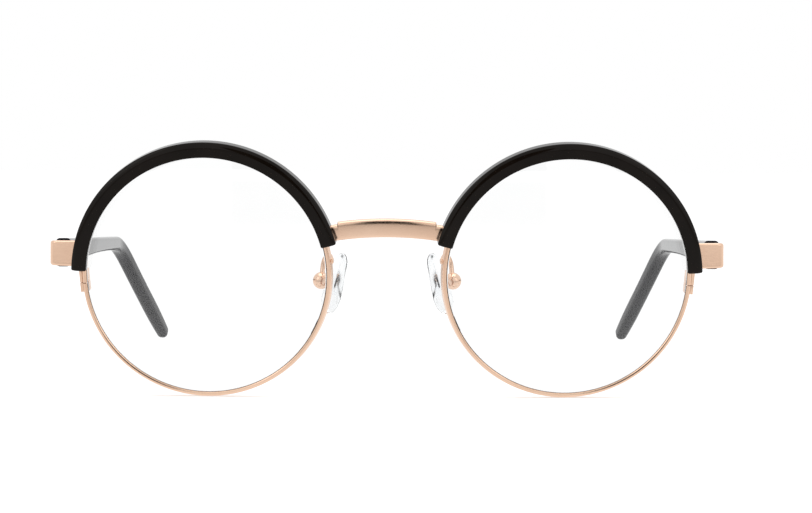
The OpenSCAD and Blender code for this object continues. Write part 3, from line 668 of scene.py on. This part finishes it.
bar_vertices, bar_faces = skinned(bar_rings(-BAR_HALF, BAR_HALF))
for sign in (-1, 1):
    ends = sorted((sign * (BAR_HALF - LUG_OVERLAP), sign * (BAR_HALF + BRIDGE_LUG + LUG_REACH)))
    more_vertices, more_faces = skinned(bar_rings(*ends, BRIDGE_LUG_STEP))
    shift = len(bar_vertices)
    bar_vertices += more_vertices
    bar_faces += [[index + shift for index in face] for face in more_faces]
bar_mesh = settle(plain_mesh("bridge_bar", bar_vertices, bar_faces), FRONT, "left", sharp=40)
add_piece("bridge_bar", bar_mesh, "front", "rose_gold", ["bridge"])
print("bridge bar", len(bar_mesh.polygons), "faces")

# %% [markdown]
# ## Temples
# A temple is cut from acetate sheet, tapered towards the ear, and bent down and inwards in warm sand.
# The bend is gradual, so the turn eases in and out. The tail swells again, and its last quarter
# narrows a little. A row of rounded sections along that path gives the shape, and the last few shrink
# into a round tip.

# %% The temple's path and sections
HINGE_INSET = 2.0 * MM
TEMPLE_STRAIGHT = 91 * MM
TEMPLE_TAIL = 48 * MM
TEMPLE_T = 3.2 * MM
TEMPLE_H = 5.9 * MM
TEMPLE_WAIST_H = 3.2 * MM
TEMPLE_TIP_H = 3.8 * MM
TEMPLE_SOFT = 0.9 * MM
TAIL_SOFT = 1.4 * MM
TEMPLE_DROP = math.radians(33)
TEMPLE_TURN_IN = math.radians(13)
TEMPLE_BEND = 17 * MM
TAPER_POWER = 2.4
TAIL_GROWTH = 1.5


def eased(t):
    return (1 - math.cos(math.pi * min(max(t, 0), 1))) / 2


def temple_turn(s):
    """Direction, across and up vectors of the temple at a distance from the hinge."""
    share = eased((s - TEMPLE_STRAIGHT) / TEMPLE_BEND)
    down, inward = TEMPLE_DROP * share, TEMPLE_TURN_IN * share
    along = Vector((-math.sin(inward) * math.cos(down), math.cos(inward) * math.cos(down), -math.sin(down)))
    across = Vector((math.cos(inward), math.sin(inward), 0))
    return along, across, across.cross(along)


def tail_swell(s):
    """How far the tail has swelled at a distance from the hinge, from 0 to 1."""
    return eased((s - TEMPLE_STRAIGHT) / TEMPLE_TAIL * TAIL_GROWTH)


def temple_height(s):
    if s < TEMPLE_STRAIGHT:
        return TEMPLE_WAIST_H + (TEMPLE_H - TEMPLE_WAIST_H) * (1 - s / TEMPLE_STRAIGHT) ** TAPER_POWER
    return TEMPLE_WAIST_H + (TEMPLE_TIP_H - TEMPLE_WAIST_H) * tail_swell(s)


def temple_ring(point, s, share):
    """One rounded section, whose top edge keeps its line where the section is slimmer."""
    height = temple_height(s)
    along, across, up = temple_turn(s)
    w, h = TEMPLE_T * share / 2, height * share / 2
    soft = (TEMPLE_SOFT + (TAIL_SOFT - TEMPLE_SOFT) * tail_swell(s)) * share
    outline = filleted([(w, h, soft), (-w, h, soft), (-w, -h, soft), (w, -h, soft)], steps=6)
    return [point + across * q.x + up * (q.y + (TEMPLE_H - height) / 2) for q in outline]


# %% Carry the sections along the path
TEMPLE_START = 0.03 * MM
TEMPLE_LEAD = ((0, 0.93), (0.06 * MM, 0.97), (0.14 * MM, 1))
STRAIGHT_STEPS, TAIL_STEPS, CAP_STEPS = 40, 48, 8
TIP_EASE = 0.14
TIP_EASE_FROM = 0.75
TIP_CAP = 1.9 * MM
TIP_CLOSE = math.radians(88)


def temple_rings():
    middle_x = HINGE_INSET + TEMPLE_T / 2
    straight = [(TEMPLE_START + ahead, share) for ahead, share in TEMPLE_LEAD]
    straight += [(TEMPLE_STRAIGHT * k / STRAIGHT_STEPS, 1) for k in range(1, STRAIGHT_STEPS)]
    rings = [temple_ring(Vector((middle_x, s, 0)), s, share) for s, share in straight]
    point = Vector((middle_x, TEMPLE_STRAIGHT, 0))
    step = TEMPLE_TAIL / TAIL_STEPS
    for k in range(TAIL_STEPS + 1):
        s = TEMPLE_STRAIGHT + k * step
        near_tip = max(0, k / TAIL_STEPS - TIP_EASE_FROM) / (1 - TIP_EASE_FROM)
        rings.append(temple_ring(point, s, 1 - TIP_EASE * near_tip ** 2))
        last = point
        point = point + temple_turn(s + step / 2)[0] * step
    for k in range(1, CAP_STEPS):
        angle = TIP_CLOSE * k / (CAP_STEPS - 1)
        tip = last + temple_turn(s)[0] * TIP_CAP * math.sin(angle)
        rings.append(temple_ring(tip, s, (1 - TIP_EASE) * math.cos(angle)))
    return rings


for side in SIDES:
    body = "temple_" + side
    mesh = settle(plain_mesh("temple_arm_" + side, *skinned(temple_rings())), TEMPLE, side, sharp=40)
    temple = add_piece("temple_arm_" + side, mesh, body, "temple_acetate", [body])
    print(temple.name, len(temple.data.polygons), "faces")

# %% [markdown]
# ## Nose pads
# A silicone pad is a drop: a small round above a large one, with nearly straight sides. Seen from its
# edge it is a thin lens, fuller towards the nose. The outline below is the line round three circles,
# found from whichever circle reaches furthest in each direction, and the two faces are domes over it.

# %% Mould both pads
PAD_GAP = 2.2 * MM
PAD_T = 2.3 * MM
PAD_LOW = (-3.0 * MM, 3.5 * MM)
PAD_MIDDLE = (-1.5 * MM, 3.36 * MM)
PAD_HIGH = (4.2 * MM, 2.3 * MM)
PAD_SIDES = 72
PAD_RINGS = 28
PAD_POLE = 4
PAD_FULLNESS = 0.86


def pad_edge(angle):
    """Sideways and upward reach of the drop's outline in one direction."""
    side_share, up_share = math.cos(angle), math.sin(angle)
    height, radius = max((PAD_LOW, PAD_MIDDLE, PAD_HIGH), key=lambda c: c[0] * up_share + c[1])
    return radius * side_share, height + radius * up_share


def pad_profile():
    """Share of the outline's reach and share of the half thickness, from one face to the other."""
    turns = [math.radians(PAD_POLE + (180 - 2 * PAD_POLE) * k / PAD_RINGS) for k in range(PAD_RINGS + 1)]
    return [(math.sin(t) ** PAD_FULLNESS, math.cos(t)) for t in turns]


def pad_shape():
    middle_x = -PAD_GAP - PAD_T / 2
    poles = [(middle_x - PAD_T / 2, 0, 0), (middle_x + PAD_T / 2, 0, 0)]
    edge = [pad_edge(2 * math.pi * k / PAD_SIDES) for k in range(PAD_SIDES)]
    return domed(poles, [[(middle_x - depth * PAD_T / 2, y * reach, z * reach) for y, z in edge]
                         for reach, depth in pad_profile()])


for side in SIDES:
    drop = settle(plain_mesh("pad_drop_" + side, *pad_shape()), PAD, side, sharp=60)
    pad = add_piece("pad_drop_" + side, drop, "pad_" + side, "pad_silicone", ["nose_pad_" + side])
    print(pad.name, len(drop.polygons), "faces")

# %% [markdown]
# ## Pad arms
# Each arm is a bit of round wire, soldered to the rim and bent by pliers, so it follows a path and
# suits Geometry Nodes again. The object's mesh is the path, and the tree sweeps a circle along it. A
# bead of solder runs up round its root.

# %% The wire tree
def wire_tree():
    tree, given = growing_tree("wire along a path", {
        "Wire radius": float, "Sides": int, "Material": "material"})
    path = wired(tree, "GeometryNodeMeshToCurve", {"Mesh": given["Geometry"]})
    circle = wired(tree, "GeometryNodeCurvePrimitiveCircle", {
        "Resolution": given["Sides"], "Radius": given["Wire radius"]})
    swept = wired(tree, "GeometryNodeCurveToMesh", {
        "Curve": path, "Profile Curve": circle, "Fill Caps": True})
    return finish_tree(tree, swept, given)


WIRE_TREE = wire_tree()
print("wire tree has", len(WIRE_TREE.nodes), "nodes")

# %% Bend both arms and add their solder beads
ARM_R = 0.5 * MM
ARM_SIDES = 20
ARM_STEPS = 32
ARM_ROOT_UP = 2.9 * MM
ARM_ROOT_X = LENS_X - math.sqrt(RIM_OUT ** 2 - ARM_ROOT_UP ** 2)
PAD_X, PAD_BACK, PAD_DOWN = 13.5 * MM, 5.7 * MM, 2.2 * MM
ARM_STEER = [
    Vector((ARM_ROOT_X, -0.2 * MM, ARM_ROOT_UP)),
    Vector((ARM_ROOT_X - 0.2 * MM, PAD_BACK * 0.8, ARM_ROOT_UP + 0.7 * MM)),
    Vector((PAD_X - 0.2 * MM, PAD_BACK + 2.2 * MM, ARM_ROOT_UP + 1 * MM)),
    Vector((PAD_X - 0.2 * MM, PAD_BACK, 1.1 * MM - PAD_DOWN))]
BEAD_BACK = Vector((0, 1.0 * MM, 0))
BEAD_SIZE = Vector((0.55, 1.3, 0.85)) * MM


def steered(points, t):
    """A point on the smooth curve that four points steer."""
    weights = ((1 - t) ** 3, 3 * t * (1 - t) ** 2, 3 * t * t * (1 - t), t ** 3)
    return sum((p * w for p, w in zip(points, weights)), Vector())


def add_bead(mesh, centre, size):
    """Join an egg of solder to the mesh."""
    shell = bmesh.new()
    shell.from_mesh(mesh)
    place = at(centre) @ Matrix.Diagonal((*size, 1))
    bmesh.ops.create_icosphere(shell, subdivisions=4, radius=1, matrix=place)
    shell.to_mesh(mesh)
    shell.free()


for side in SIDES:
    path = [steered(ARM_STEER, k / ARM_STEPS) for k in range(ARM_STEPS + 1)]
    arm = grow("pad_wire_" + side, outline_mesh("arm path", path, closed=False), WIRE_TREE, {
        "Wire radius": ARM_R, "Sides": ARM_SIDES, "Material": FINISHES["rose_gold"]})
    add_bead(arm, ARM_STEER[0] + BEAD_BACK, BEAD_SIZE)
    settle(arm, FRONT, side, sharp=60)
    wire = add_piece("pad_wire_" + side, arm, "front", "rose_gold", ["pad_arm_" + side])
    print(wire.name, len(arm.polygons), "faces")

# %% [markdown]
# ## Endpieces
# An endpiece is a strip bent round the corner from the front to the hinge, with edges rolled over by
# polishing. Its outline seen from above is drawn once. Each ring up the strip is that outline moved
# in a little, which rolls the top and bottom edges, and the lower edge runs down a little towards the
# rim. The seat of the rim is then cut out of it.

# %% Bend both endpieces
STRIP_H = 5.0 * MM
STRIP_OUT = 5.2 * MM
STRIP_IN = -2.5 * MM
STRIP_FRONT = -10.0 * MM
STRIP_BACK = -0.03 * MM
STRIP_T = 2.7 * MM
STRIP_SIDE_T = 1.6 * MM
STRIP_ROLL = 0.5 * MM
STRIP_DROP = 0.07
STRIP_DROP_MOST = 0.32 * MM
SEAT_GAP = 0.02 * MM
PLUG_FRONT = -4 * MM
PLUG_SIDES = 180

strip_plan = filleted([
    (STRIP_OUT, STRIP_BACK, 0), (STRIP_OUT - STRIP_SIDE_T, STRIP_BACK, 0),
    (STRIP_OUT - STRIP_SIDE_T, STRIP_FRONT + STRIP_T, 0.8 * MM),
    (STRIP_IN, STRIP_FRONT + STRIP_T, 0), (STRIP_IN, STRIP_FRONT, 0),
    (STRIP_OUT, STRIP_FRONT, 1.5 * MM)], steps=8)


def moved_in(points, amount):
    """A counter-clockwise outline moved in by the same amount all round."""
    moved = []
    for i, here in enumerate(points):
        first = (here - points[i - 1]).normalized()
        second = (points[(i + 1) % len(points)] - here).normalized()
        normals = Vector((-first.y - second.y, first.x + second.x))
        moved.append(here + normals * amount / (1 + first.dot(second)))
    return moved


def strip_point(p, height):
    """A point of the strip, whose lower edge runs down a little towards the rim."""
    up = height - STRIP_H / 2
    drop = min(STRIP_DROP * (STRIP_OUT - p.x), STRIP_DROP_MOST)
    return p.x, p.y, up - drop * max(0.0, -2 * up / STRIP_H)


def rim_plug():
    """A tapered plug the size of the rim, down to its back."""
    rings = []
    for depth in (PLUG_FRONT, RIM_DEPTH + SEAT_GAP):
        radius = rim_wall(depth) - BROW_FIT + SEAT_GAP
        rings.append([LENS @ Vector(round_lens(2 * math.pi * k / PLUG_SIDES, radius, depth))
                      for k in range(PLUG_SIDES)])
    return in_scene("rim_plug", settle(plain_mesh("rim_plug", *skinned(rings)), STAY, "left"))


plug = rim_plug()
for side in SIDES:
    rings = [[strip_point(p, height) for p in moved_in(strip_plan, inset)]
             for height, inset in stations(STRIP_H, STRIP_ROLL, end_steps=6)]
    strip = settle(plain_mesh("endpiece_strip", *skinned(rings)), HINGE, "left")
    strip = baked("endpiece_strip_" + side, strip, "BOOLEAN",
                  object=plug, operation="DIFFERENCE", solver="EXACT")
    settle(strip, STAY, side)
    piece = add_piece(strip.name, strip, "front", "rose_gold", ["endpiece_" + side])
    print(piece.name, len(piece.data.polygons), "faces")
bpy.data.objects.remove(plug)

# %% [markdown]
# ## Small metal parts with soft edges
# Closing blocks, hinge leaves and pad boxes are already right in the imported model, apart from their
# knife edges. A copy is merged, its flat faces are joined, and a small bevel breaks each edge, as a
# barrel of tumbling stones does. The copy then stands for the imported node.

# %% Break the edges of a copy
MERGE = 0.002 * MM
FLAT_WITHIN = math.radians(0.5)
EDGE_ABOVE = math.radians(32)


def softened(name, node, width):
    """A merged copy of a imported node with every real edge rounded."""
    mesh = frame["nodes"][node].data.copy()
    shell = bmesh.new()
    shell.from_mesh(mesh)
    bmesh.ops.remove_doubles(shell, verts=shell.verts, dist=MERGE)
    bmesh.ops.dissolve_limit(shell, angle_limit=FLAT_WITHIN, verts=shell.verts, edges=shell.edges)
    shell.to_mesh(mesh)
    shell.free()
    return baked(name, mesh, "BEVEL", width=width, segments=3, limit_method="ANGLE",
                 angle_limit=EDGE_ABOVE)


def own_body(body, side):
    """The front as it is, or that side's own temple or pad."""
    return body if body == "front" else body + "_" + side


SOFT_EDGES = {
    "lock_upper": ("lock_block_upper", "front", "rose_gold", 0.15 * MM),
    "lock_lower": ("lock_block_lower", "front", "rose_gold", 0.15 * MM),
    "front_leaf": ("hinge_leaf_front", "front", "rose_gold", 0.12 * MM),
    "pad_box": ("pad_cup", "front", "rose_gold", 0.1 * MM),
    "temple_leaf": ("hinge_leaf_temple", "temple", "rose_gold", 0.12 * MM),
    "pad_insert": ("pad_tab", "pad", "insert_plastic", 0.12 * MM),
}
for node, (name, body, finish, width) in SOFT_EDGES.items():
    for side in SIDES:
        soft = settle(softened(name + "_" + side, node + "_" + side, width), STAY, "left", sharp=40)
        piece = add_piece(name + "_" + side, soft, own_body(body, side), finish, [node + "_" + side])
    print(piece.name, len(soft.polygons), "faces")

# %% [markdown]
# ## Screws and rivets
# The same slotted screw turns up in four places, and the rivets are its plain cousin, so one tree
# makes them all. The object's mesh is a set of points, one for each screw, with its direction kept
# as an attribute. The tree builds a head with a slot and a shank, puts a copy on each point and turns
# it to its direction.

# %% The screw tree
HEAD_SIDES, SHANK_SIDES = 40, 28


def screw_tree():
    tree, given = growing_tree("screws on points", {
        "Head radius": float, "Head height": float, "Shank radius": float, "Shank length": float,
        "Slot width": float, "Slot depth": float, "Material": "material"})

    def rod(sides, radius, depth):
        """An upright cylinder with its top face at the origin."""
        whole = wired(tree, "GeometryNodeMeshCylinder", {
            "Vertices": sides, "Radius": radius, "Depth": depth})
        offset = wired(tree, "ShaderNodeCombineXYZ", {"Z": maths(tree, "MULTIPLY", depth, -0.5)})
        return wired(tree, "GeometryNodeTransform", {
            "Geometry": whole.outputs["Mesh"], "Translation": offset}).outputs[0]

    head = rod(HEAD_SIDES, given["Head radius"], given["Head height"])
    shank = rod(SHANK_SIDES, given["Shank radius"], given["Shank length"])
    solid = wired(tree, "GeometryNodeMeshBoolean", operation="UNION", solver="EXACT")
    for shape in (head, shank):
        tree.links.new(shape, solid.inputs["Mesh 2"])
    size = wired(tree, "ShaderNodeCombineXYZ", {
        "X": given["Slot width"], "Y": maths(tree, "MULTIPLY", given["Head radius"], 4.0),
        "Z": maths(tree, "MULTIPLY", given["Slot depth"], 2.0)})
    cutter = wired(tree, "GeometryNodeMeshCube", {"Size": size})
    slotted = wired(tree, "GeometryNodeMeshBoolean", {
        "Mesh 1": solid.outputs["Mesh"], "Mesh 2": cutter.outputs["Mesh"]},
        operation="DIFFERENCE", solver="EXACT")
    aim = wired(tree, "GeometryNodeInputNamedAttribute", {"Name": "aim"}, data_type="FLOAT_VECTOR")
    turned_to = wired(tree, "FunctionNodeAlignRotationToVector", {
        "Vector": aim.outputs["Attribute"]}, axis="Z")
    placed = wired(tree, "GeometryNodeInstanceOnPoints", {
        "Points": given["Geometry"], "Instance": slotted.outputs["Mesh"],
        "Rotation": turned_to})
    return finish_tree(tree, placed, given)


SCREW_TREE = screw_tree()
print("screw tree has", len(SCREW_TREE.nodes), "nodes")

# %% One object with a screw on each spot
SCREW_EDGE_ABOVE = math.radians(40)


def add_screws(name, spots, side, body, node, sizes, soft):
    """Each spot is given as a frame, a place and a direction in that frame."""
    points = plain_mesh(name, [carrier @ Vector(place) for carrier, place, aim in spots])
    direction = points.attributes.new("aim", "FLOAT_VECTOR", "POINT")
    for item, (carrier, place, aim) in zip(direction.data, spots):
        item.vector = carrier.to_3x3() @ Vector(aim)
    mesh = grow(name, points, SCREW_TREE, {**sizes, "Material": FINISHES["screw_metal"]})
    final = baked(name, mesh, "BEVEL", width=soft, segments=2, limit_method="ANGLE",
                  angle_limit=SCREW_EDGE_ABOVE)
    settle(final, STAY, side, sharp=40)
    return add_piece(name, final, body, "screw_metal", [node + "_" + side])


# %% Sizes of the screws and rivets
FIXING = {"Head radius": 0.8 * MM, "Head height": 0.35 * MM, "Shank radius": 0.45 * MM,
          "Shank length": 2.6 * MM, "Slot width": 0.25 * MM, "Slot depth": 0.17 * MM}
LOCK_SCREW = {**FIXING, "Head radius": 0.7 * MM, "Shank radius": 0.5 * MM, "Shank length": 3.6 * MM}
HINGE_SCREW = {**FIXING, "Head radius": 1.05 * MM, "Shank radius": 0.6 * MM,
               "Shank length": 4.97 * MM, "Slot width": 0.3 * MM, "Slot depth": 0.18 * MM}
PAD_SCREW = {**FIXING, "Shank length": 3.4 * MM}
RIVET = {**FIXING, "Slot width": 0.0001 * MM, "Slot depth": 0.0001 * MM}

# %% Put screws where they belong
BROW_SCREW_R = (RIM_OUT + BROW_OUT) / 2
SCREW_AT_ENDPIECE = math.asin(HINGE_UP / BROW_SCREW_R)
SCREW_AT_BRIDGE = math.pi - math.asin((BRIDGE_UP - BRIDGE_LUG_STEP / 2) / BROW_SCREW_R)
ENDPIECE_HEAD, LUG_HEAD = 2.45 * MM, 1.8 * MM
LOCK = LENS @ turn(LOCK_ANGLE, "Y")
LOCK_PAST_RIM, LOCK_SCREW_INSET = 0.5 * MM, 0.85 * MM
LOCK_SCREW_R = RIM_OUT + LOCK_PAST_RIM - LOCK_SCREW_INSET
LOCK_SCREW_DEPTH = RIM_DEPTH + 1.12 * MM
LOCK_FLOOR = -1.875 * MM
BARREL_TOP = 2.3 * MM
HINGE_HEAD = BARREL_TOP + 0.37 * MM
PAD_HEAD = -1.77 * MM
LEAF_IN = 1.9 * MM
LEAF_START = 1.35 * MM
LEAF_LEN = 9.5 * MM
RIVET_X = LEAF_IN - 0.35 * MM
RIVET_INSET = 1.8 * MM
RIVET_UP = 1.3 * MM

SCREWS = [
    ("brow_fixings", "front", "brow_screws", FIXING, 0.06 * MM, [
        (LENS, round_lens(SCREW_AT_ENDPIECE, BROW_SCREW_R, ENDPIECE_HEAD), (0, 1, 0)),
        (LENS, round_lens(SCREW_AT_BRIDGE, BROW_SCREW_R, LUG_HEAD), (0, 1, 0))]),
    ("lock_fixing", "front", "lock_screw", LOCK_SCREW, 0.05 * MM, [
        (LOCK, (LOCK_SCREW_R, LOCK_SCREW_DEPTH, LOCK_FLOOR), (0, 0, -1))]),
    ("hinge_pin", "front", "hinge_screw", HINGE_SCREW, 0.07 * MM, [
        (HINGE, (0, 0, HINGE_HEAD), (0, 0, 1))]),
    ("pad_pin", "front", "pad_screw", PAD_SCREW, 0.05 * MM, [
        (PAD, (0, PAD_HEAD, 0), (0, -1, 0))]),
    ("leaf_pins", "temple", "leaf_rivets", RIVET, 0.12 * MM, [
        (TEMPLE, (RIVET_X, LEAF_START + RIVET_INSET, RIVET_UP), (-1, 0, 0)),
        (TEMPLE, (RIVET_X, LEAF_START + LEAF_LEN - RIVET_INSET, -RIVET_UP), (-1, 0, 0))]),
]
for side in SIDES:
    for name, body, node, sizes, soft, spots in SCREWS:
        add_screws(name + "_" + side, spots, side, own_body(body, side), node, sizes, soft)
print("screws placed:", ", ".join(row[0] for row in SCREWS))

# %% [markdown]
# ## Studio
# The photograph was lit by broad white surfaces, and its background is pure white with hardly any
# shadow. The world is white to the camera, to mirrors and through clear plastic, and a little less to
# matt things, and three large soft lamps model the metal. The floor glows a little, only for the
# camera and through the lenses, so it meets the white behind it and keeps the shadow. Polished things
# see a plain light in its place, dimmer near the camera and brighter far from it. They alone see the
# dark screen in front of the object, a sheet that is there only for them and paints dark reflection
# lines along the metal.

# %% The world and the lamps
def set_world(level):
    world = bpy.data.worlds.new("white studio")
    world.use_nodes = True
    tree = world.node_tree
    paths = wired(tree, "ShaderNodeLightPath").outputs
    mirrored = maths(tree, "MAXIMUM", paths["Is Camera Ray"], paths["Is Glossy Ray"])
    seen = maths(tree, "MAXIMUM", mirrored, paths["Is Transmission Ray"])
    strength = wired(tree, "ShaderNodeMapRange", {"Value": seen, "To Min": level, "To Max": 1.0})
    feed(tree, tree.nodes["Background"], {"Color": (1, 1, 1, 1), "Strength": strength})
    bpy.context.scene.world = world


def add_lamp(name, place, aim, size, power):
    lamp = bpy.data.lights.new(name, "AREA")
    lamp.shape = "SQUARE"
    lamp.size = size
    lamp.energy = power
    holder = in_scene(name, lamp)
    holder.location = place
    holder.rotation_euler = (Vector(aim) - Vector(place)).to_track_quat("-Z", "Y").to_euler()


WORLD_LEVEL = 0.85
set_world(WORLD_LEVEL)
add_lamp("overhead", (0, 0, 0.9), aim=(0, -0.02, 0.02), size=0.9, power=2.5)
add_lamp("window", (-0.8, -0.6, 0.6), aim=(0, -0.05, 0.02), size=0.6, power=0.8)
add_lamp("fill", (0.8, -0.6, 0.5), aim=(0, -0.05, 0.02), size=0.6, power=0.5)
print("world and three lamps ready")

# %% The dark screen, which only polished things see, painting dark reflections on the metal
SCREEN_AT = (0, -0.27, 0.001)
SCREEN_W, SCREEN_H = 0.1, 0.15
SCREEN_TONES = [(grey, grey, grey) for grey in (0.02, 0.03)]


def matt_finish(name, scale, tones, roughness):
    """A finish without a mirror, with a grain of two close tones."""
    finish, tree, shader, place = new_finish(name)
    grain = noise(tree, place, scale, detail=2.0)
    feed(tree, shader, {
        "Base Color": two_tones(tree, grain, *tones), "Roughness": roughness,
        "Specular IOR Level": 0.0})
    return finish, tree, shader, place


half = SCREEN_W / 2
corners = [(-half, 0, 0), (half, 0, 0), (half, 0, SCREEN_H), (-half, 0, SCREEN_H)]
mesh = plain_mesh("dark_screen", corners, [[0, 1, 2, 3]])
mesh.materials.append(matt_finish("dark_reflection_screen", scale=30, tones=SCREEN_TONES, roughness=1.0)[0])
screen = in_scene("dark_screen", mesh)
screen.location = SCREEN_AT
# Hidden from all but mirrored rays, this sheet is only a painted dark reflection on the metal.
for ray in ("camera", "diffuse", "transmission", "shadow"):
    setattr(screen, "visible_" + ray, False)
print("dark screen at", SCREEN_AT)

# %% The floor
FLOOR_SIZE = 3.0
FLOOR_GLOW = 0.26
FLOOR_TONES = [(grey, grey, grey) for grey in (0.86, 0.88)]
NEAR_Y, NEAR_LIGHT = -0.32, 0.46
FAR_Y, FAR_LIGHT = -0.08, 1.06


def floor_finish():
    """Paper that glows a little to the eye, and gives polished things a plain light."""
    finish, tree, shader, place = matt_finish("floor_paper", scale=400, tones=FLOOR_TONES, roughness=0.9)
    paths = wired(tree, "ShaderNodeLightPath").outputs
    seen = maths(tree, "MAXIMUM", paths["Is Camera Ray"], paths["Is Transmission Ray"])
    feed(tree, shader, {
        "Emission Color": (1, 1, 1, 1), "Emission Strength": maths(tree, "MULTIPLY", seen, FLOOR_GLOW)})
    depth = wired(tree, "ShaderNodeSeparateXYZ", {"Vector": place}).outputs["Y"]
    light = wired(tree, "ShaderNodeMapRange", {
        "Value": depth, "From Min": NEAR_Y, "From Max": FAR_Y, "To Min": NEAR_LIGHT, "To Max": FAR_LIGHT})
    mirrored = wired(tree, "ShaderNodeEmission", {"Strength": light})
    show_mix(tree, paths["Is Glossy Ray"], shader, mirrored)
    finish.cycles.emission_sampling = "NONE"
    return finish


half = FLOOR_SIZE / 2
corners = [(-half, -half, 0), (half, -half, 0), (half, half, 0), (-half, half, 0)]
mesh = plain_mesh("studio_floor", corners, [[0, 1, 2, 3]])
mesh.materials.append(floor_finish())
floor = in_scene("studio_floor", mesh)
print("studio ready")

# %% [markdown]
# ## Camera
# The photograph looks straight at the front from a little above, at about arm's length. The camera
# stands a few millimetres to one side, which shows in how far the temple tips are off the middle of
# the front, and small lens shifts place the frame in the picture without turning the camera.

# %% Place the camera
PICTURE_W = 812
FOCAL_PX = 2976
SENSOR_W = 36.0
CAMERA_AT = Vector((5.5, -671.25, 63.68)) * MM
CAMERA_PITCH = math.radians(3.25)
CAMERA_ROLL = math.radians(-0.24)
SHIFT = (-0.0108, -0.003)
NEAREST = 0.01

eye = bpy.data.cameras.new("eye")
eye.sensor_width = SENSOR_W
eye.lens = SENSOR_W * FOCAL_PX / PICTURE_W
eye.shift_x, eye.shift_y = SHIFT
eye.clip_start = NEAREST
camera = in_scene("eye", eye)
camera.location = CAMERA_AT
camera.rotation_euler = (math.radians(90) - CAMERA_PITCH, CAMERA_ROLL, 0)
bpy.context.scene.camera = camera
bpy.context.scene.view_settings.view_transform = "Standard"
print("focal length in mm:", round(eye.lens, 1))
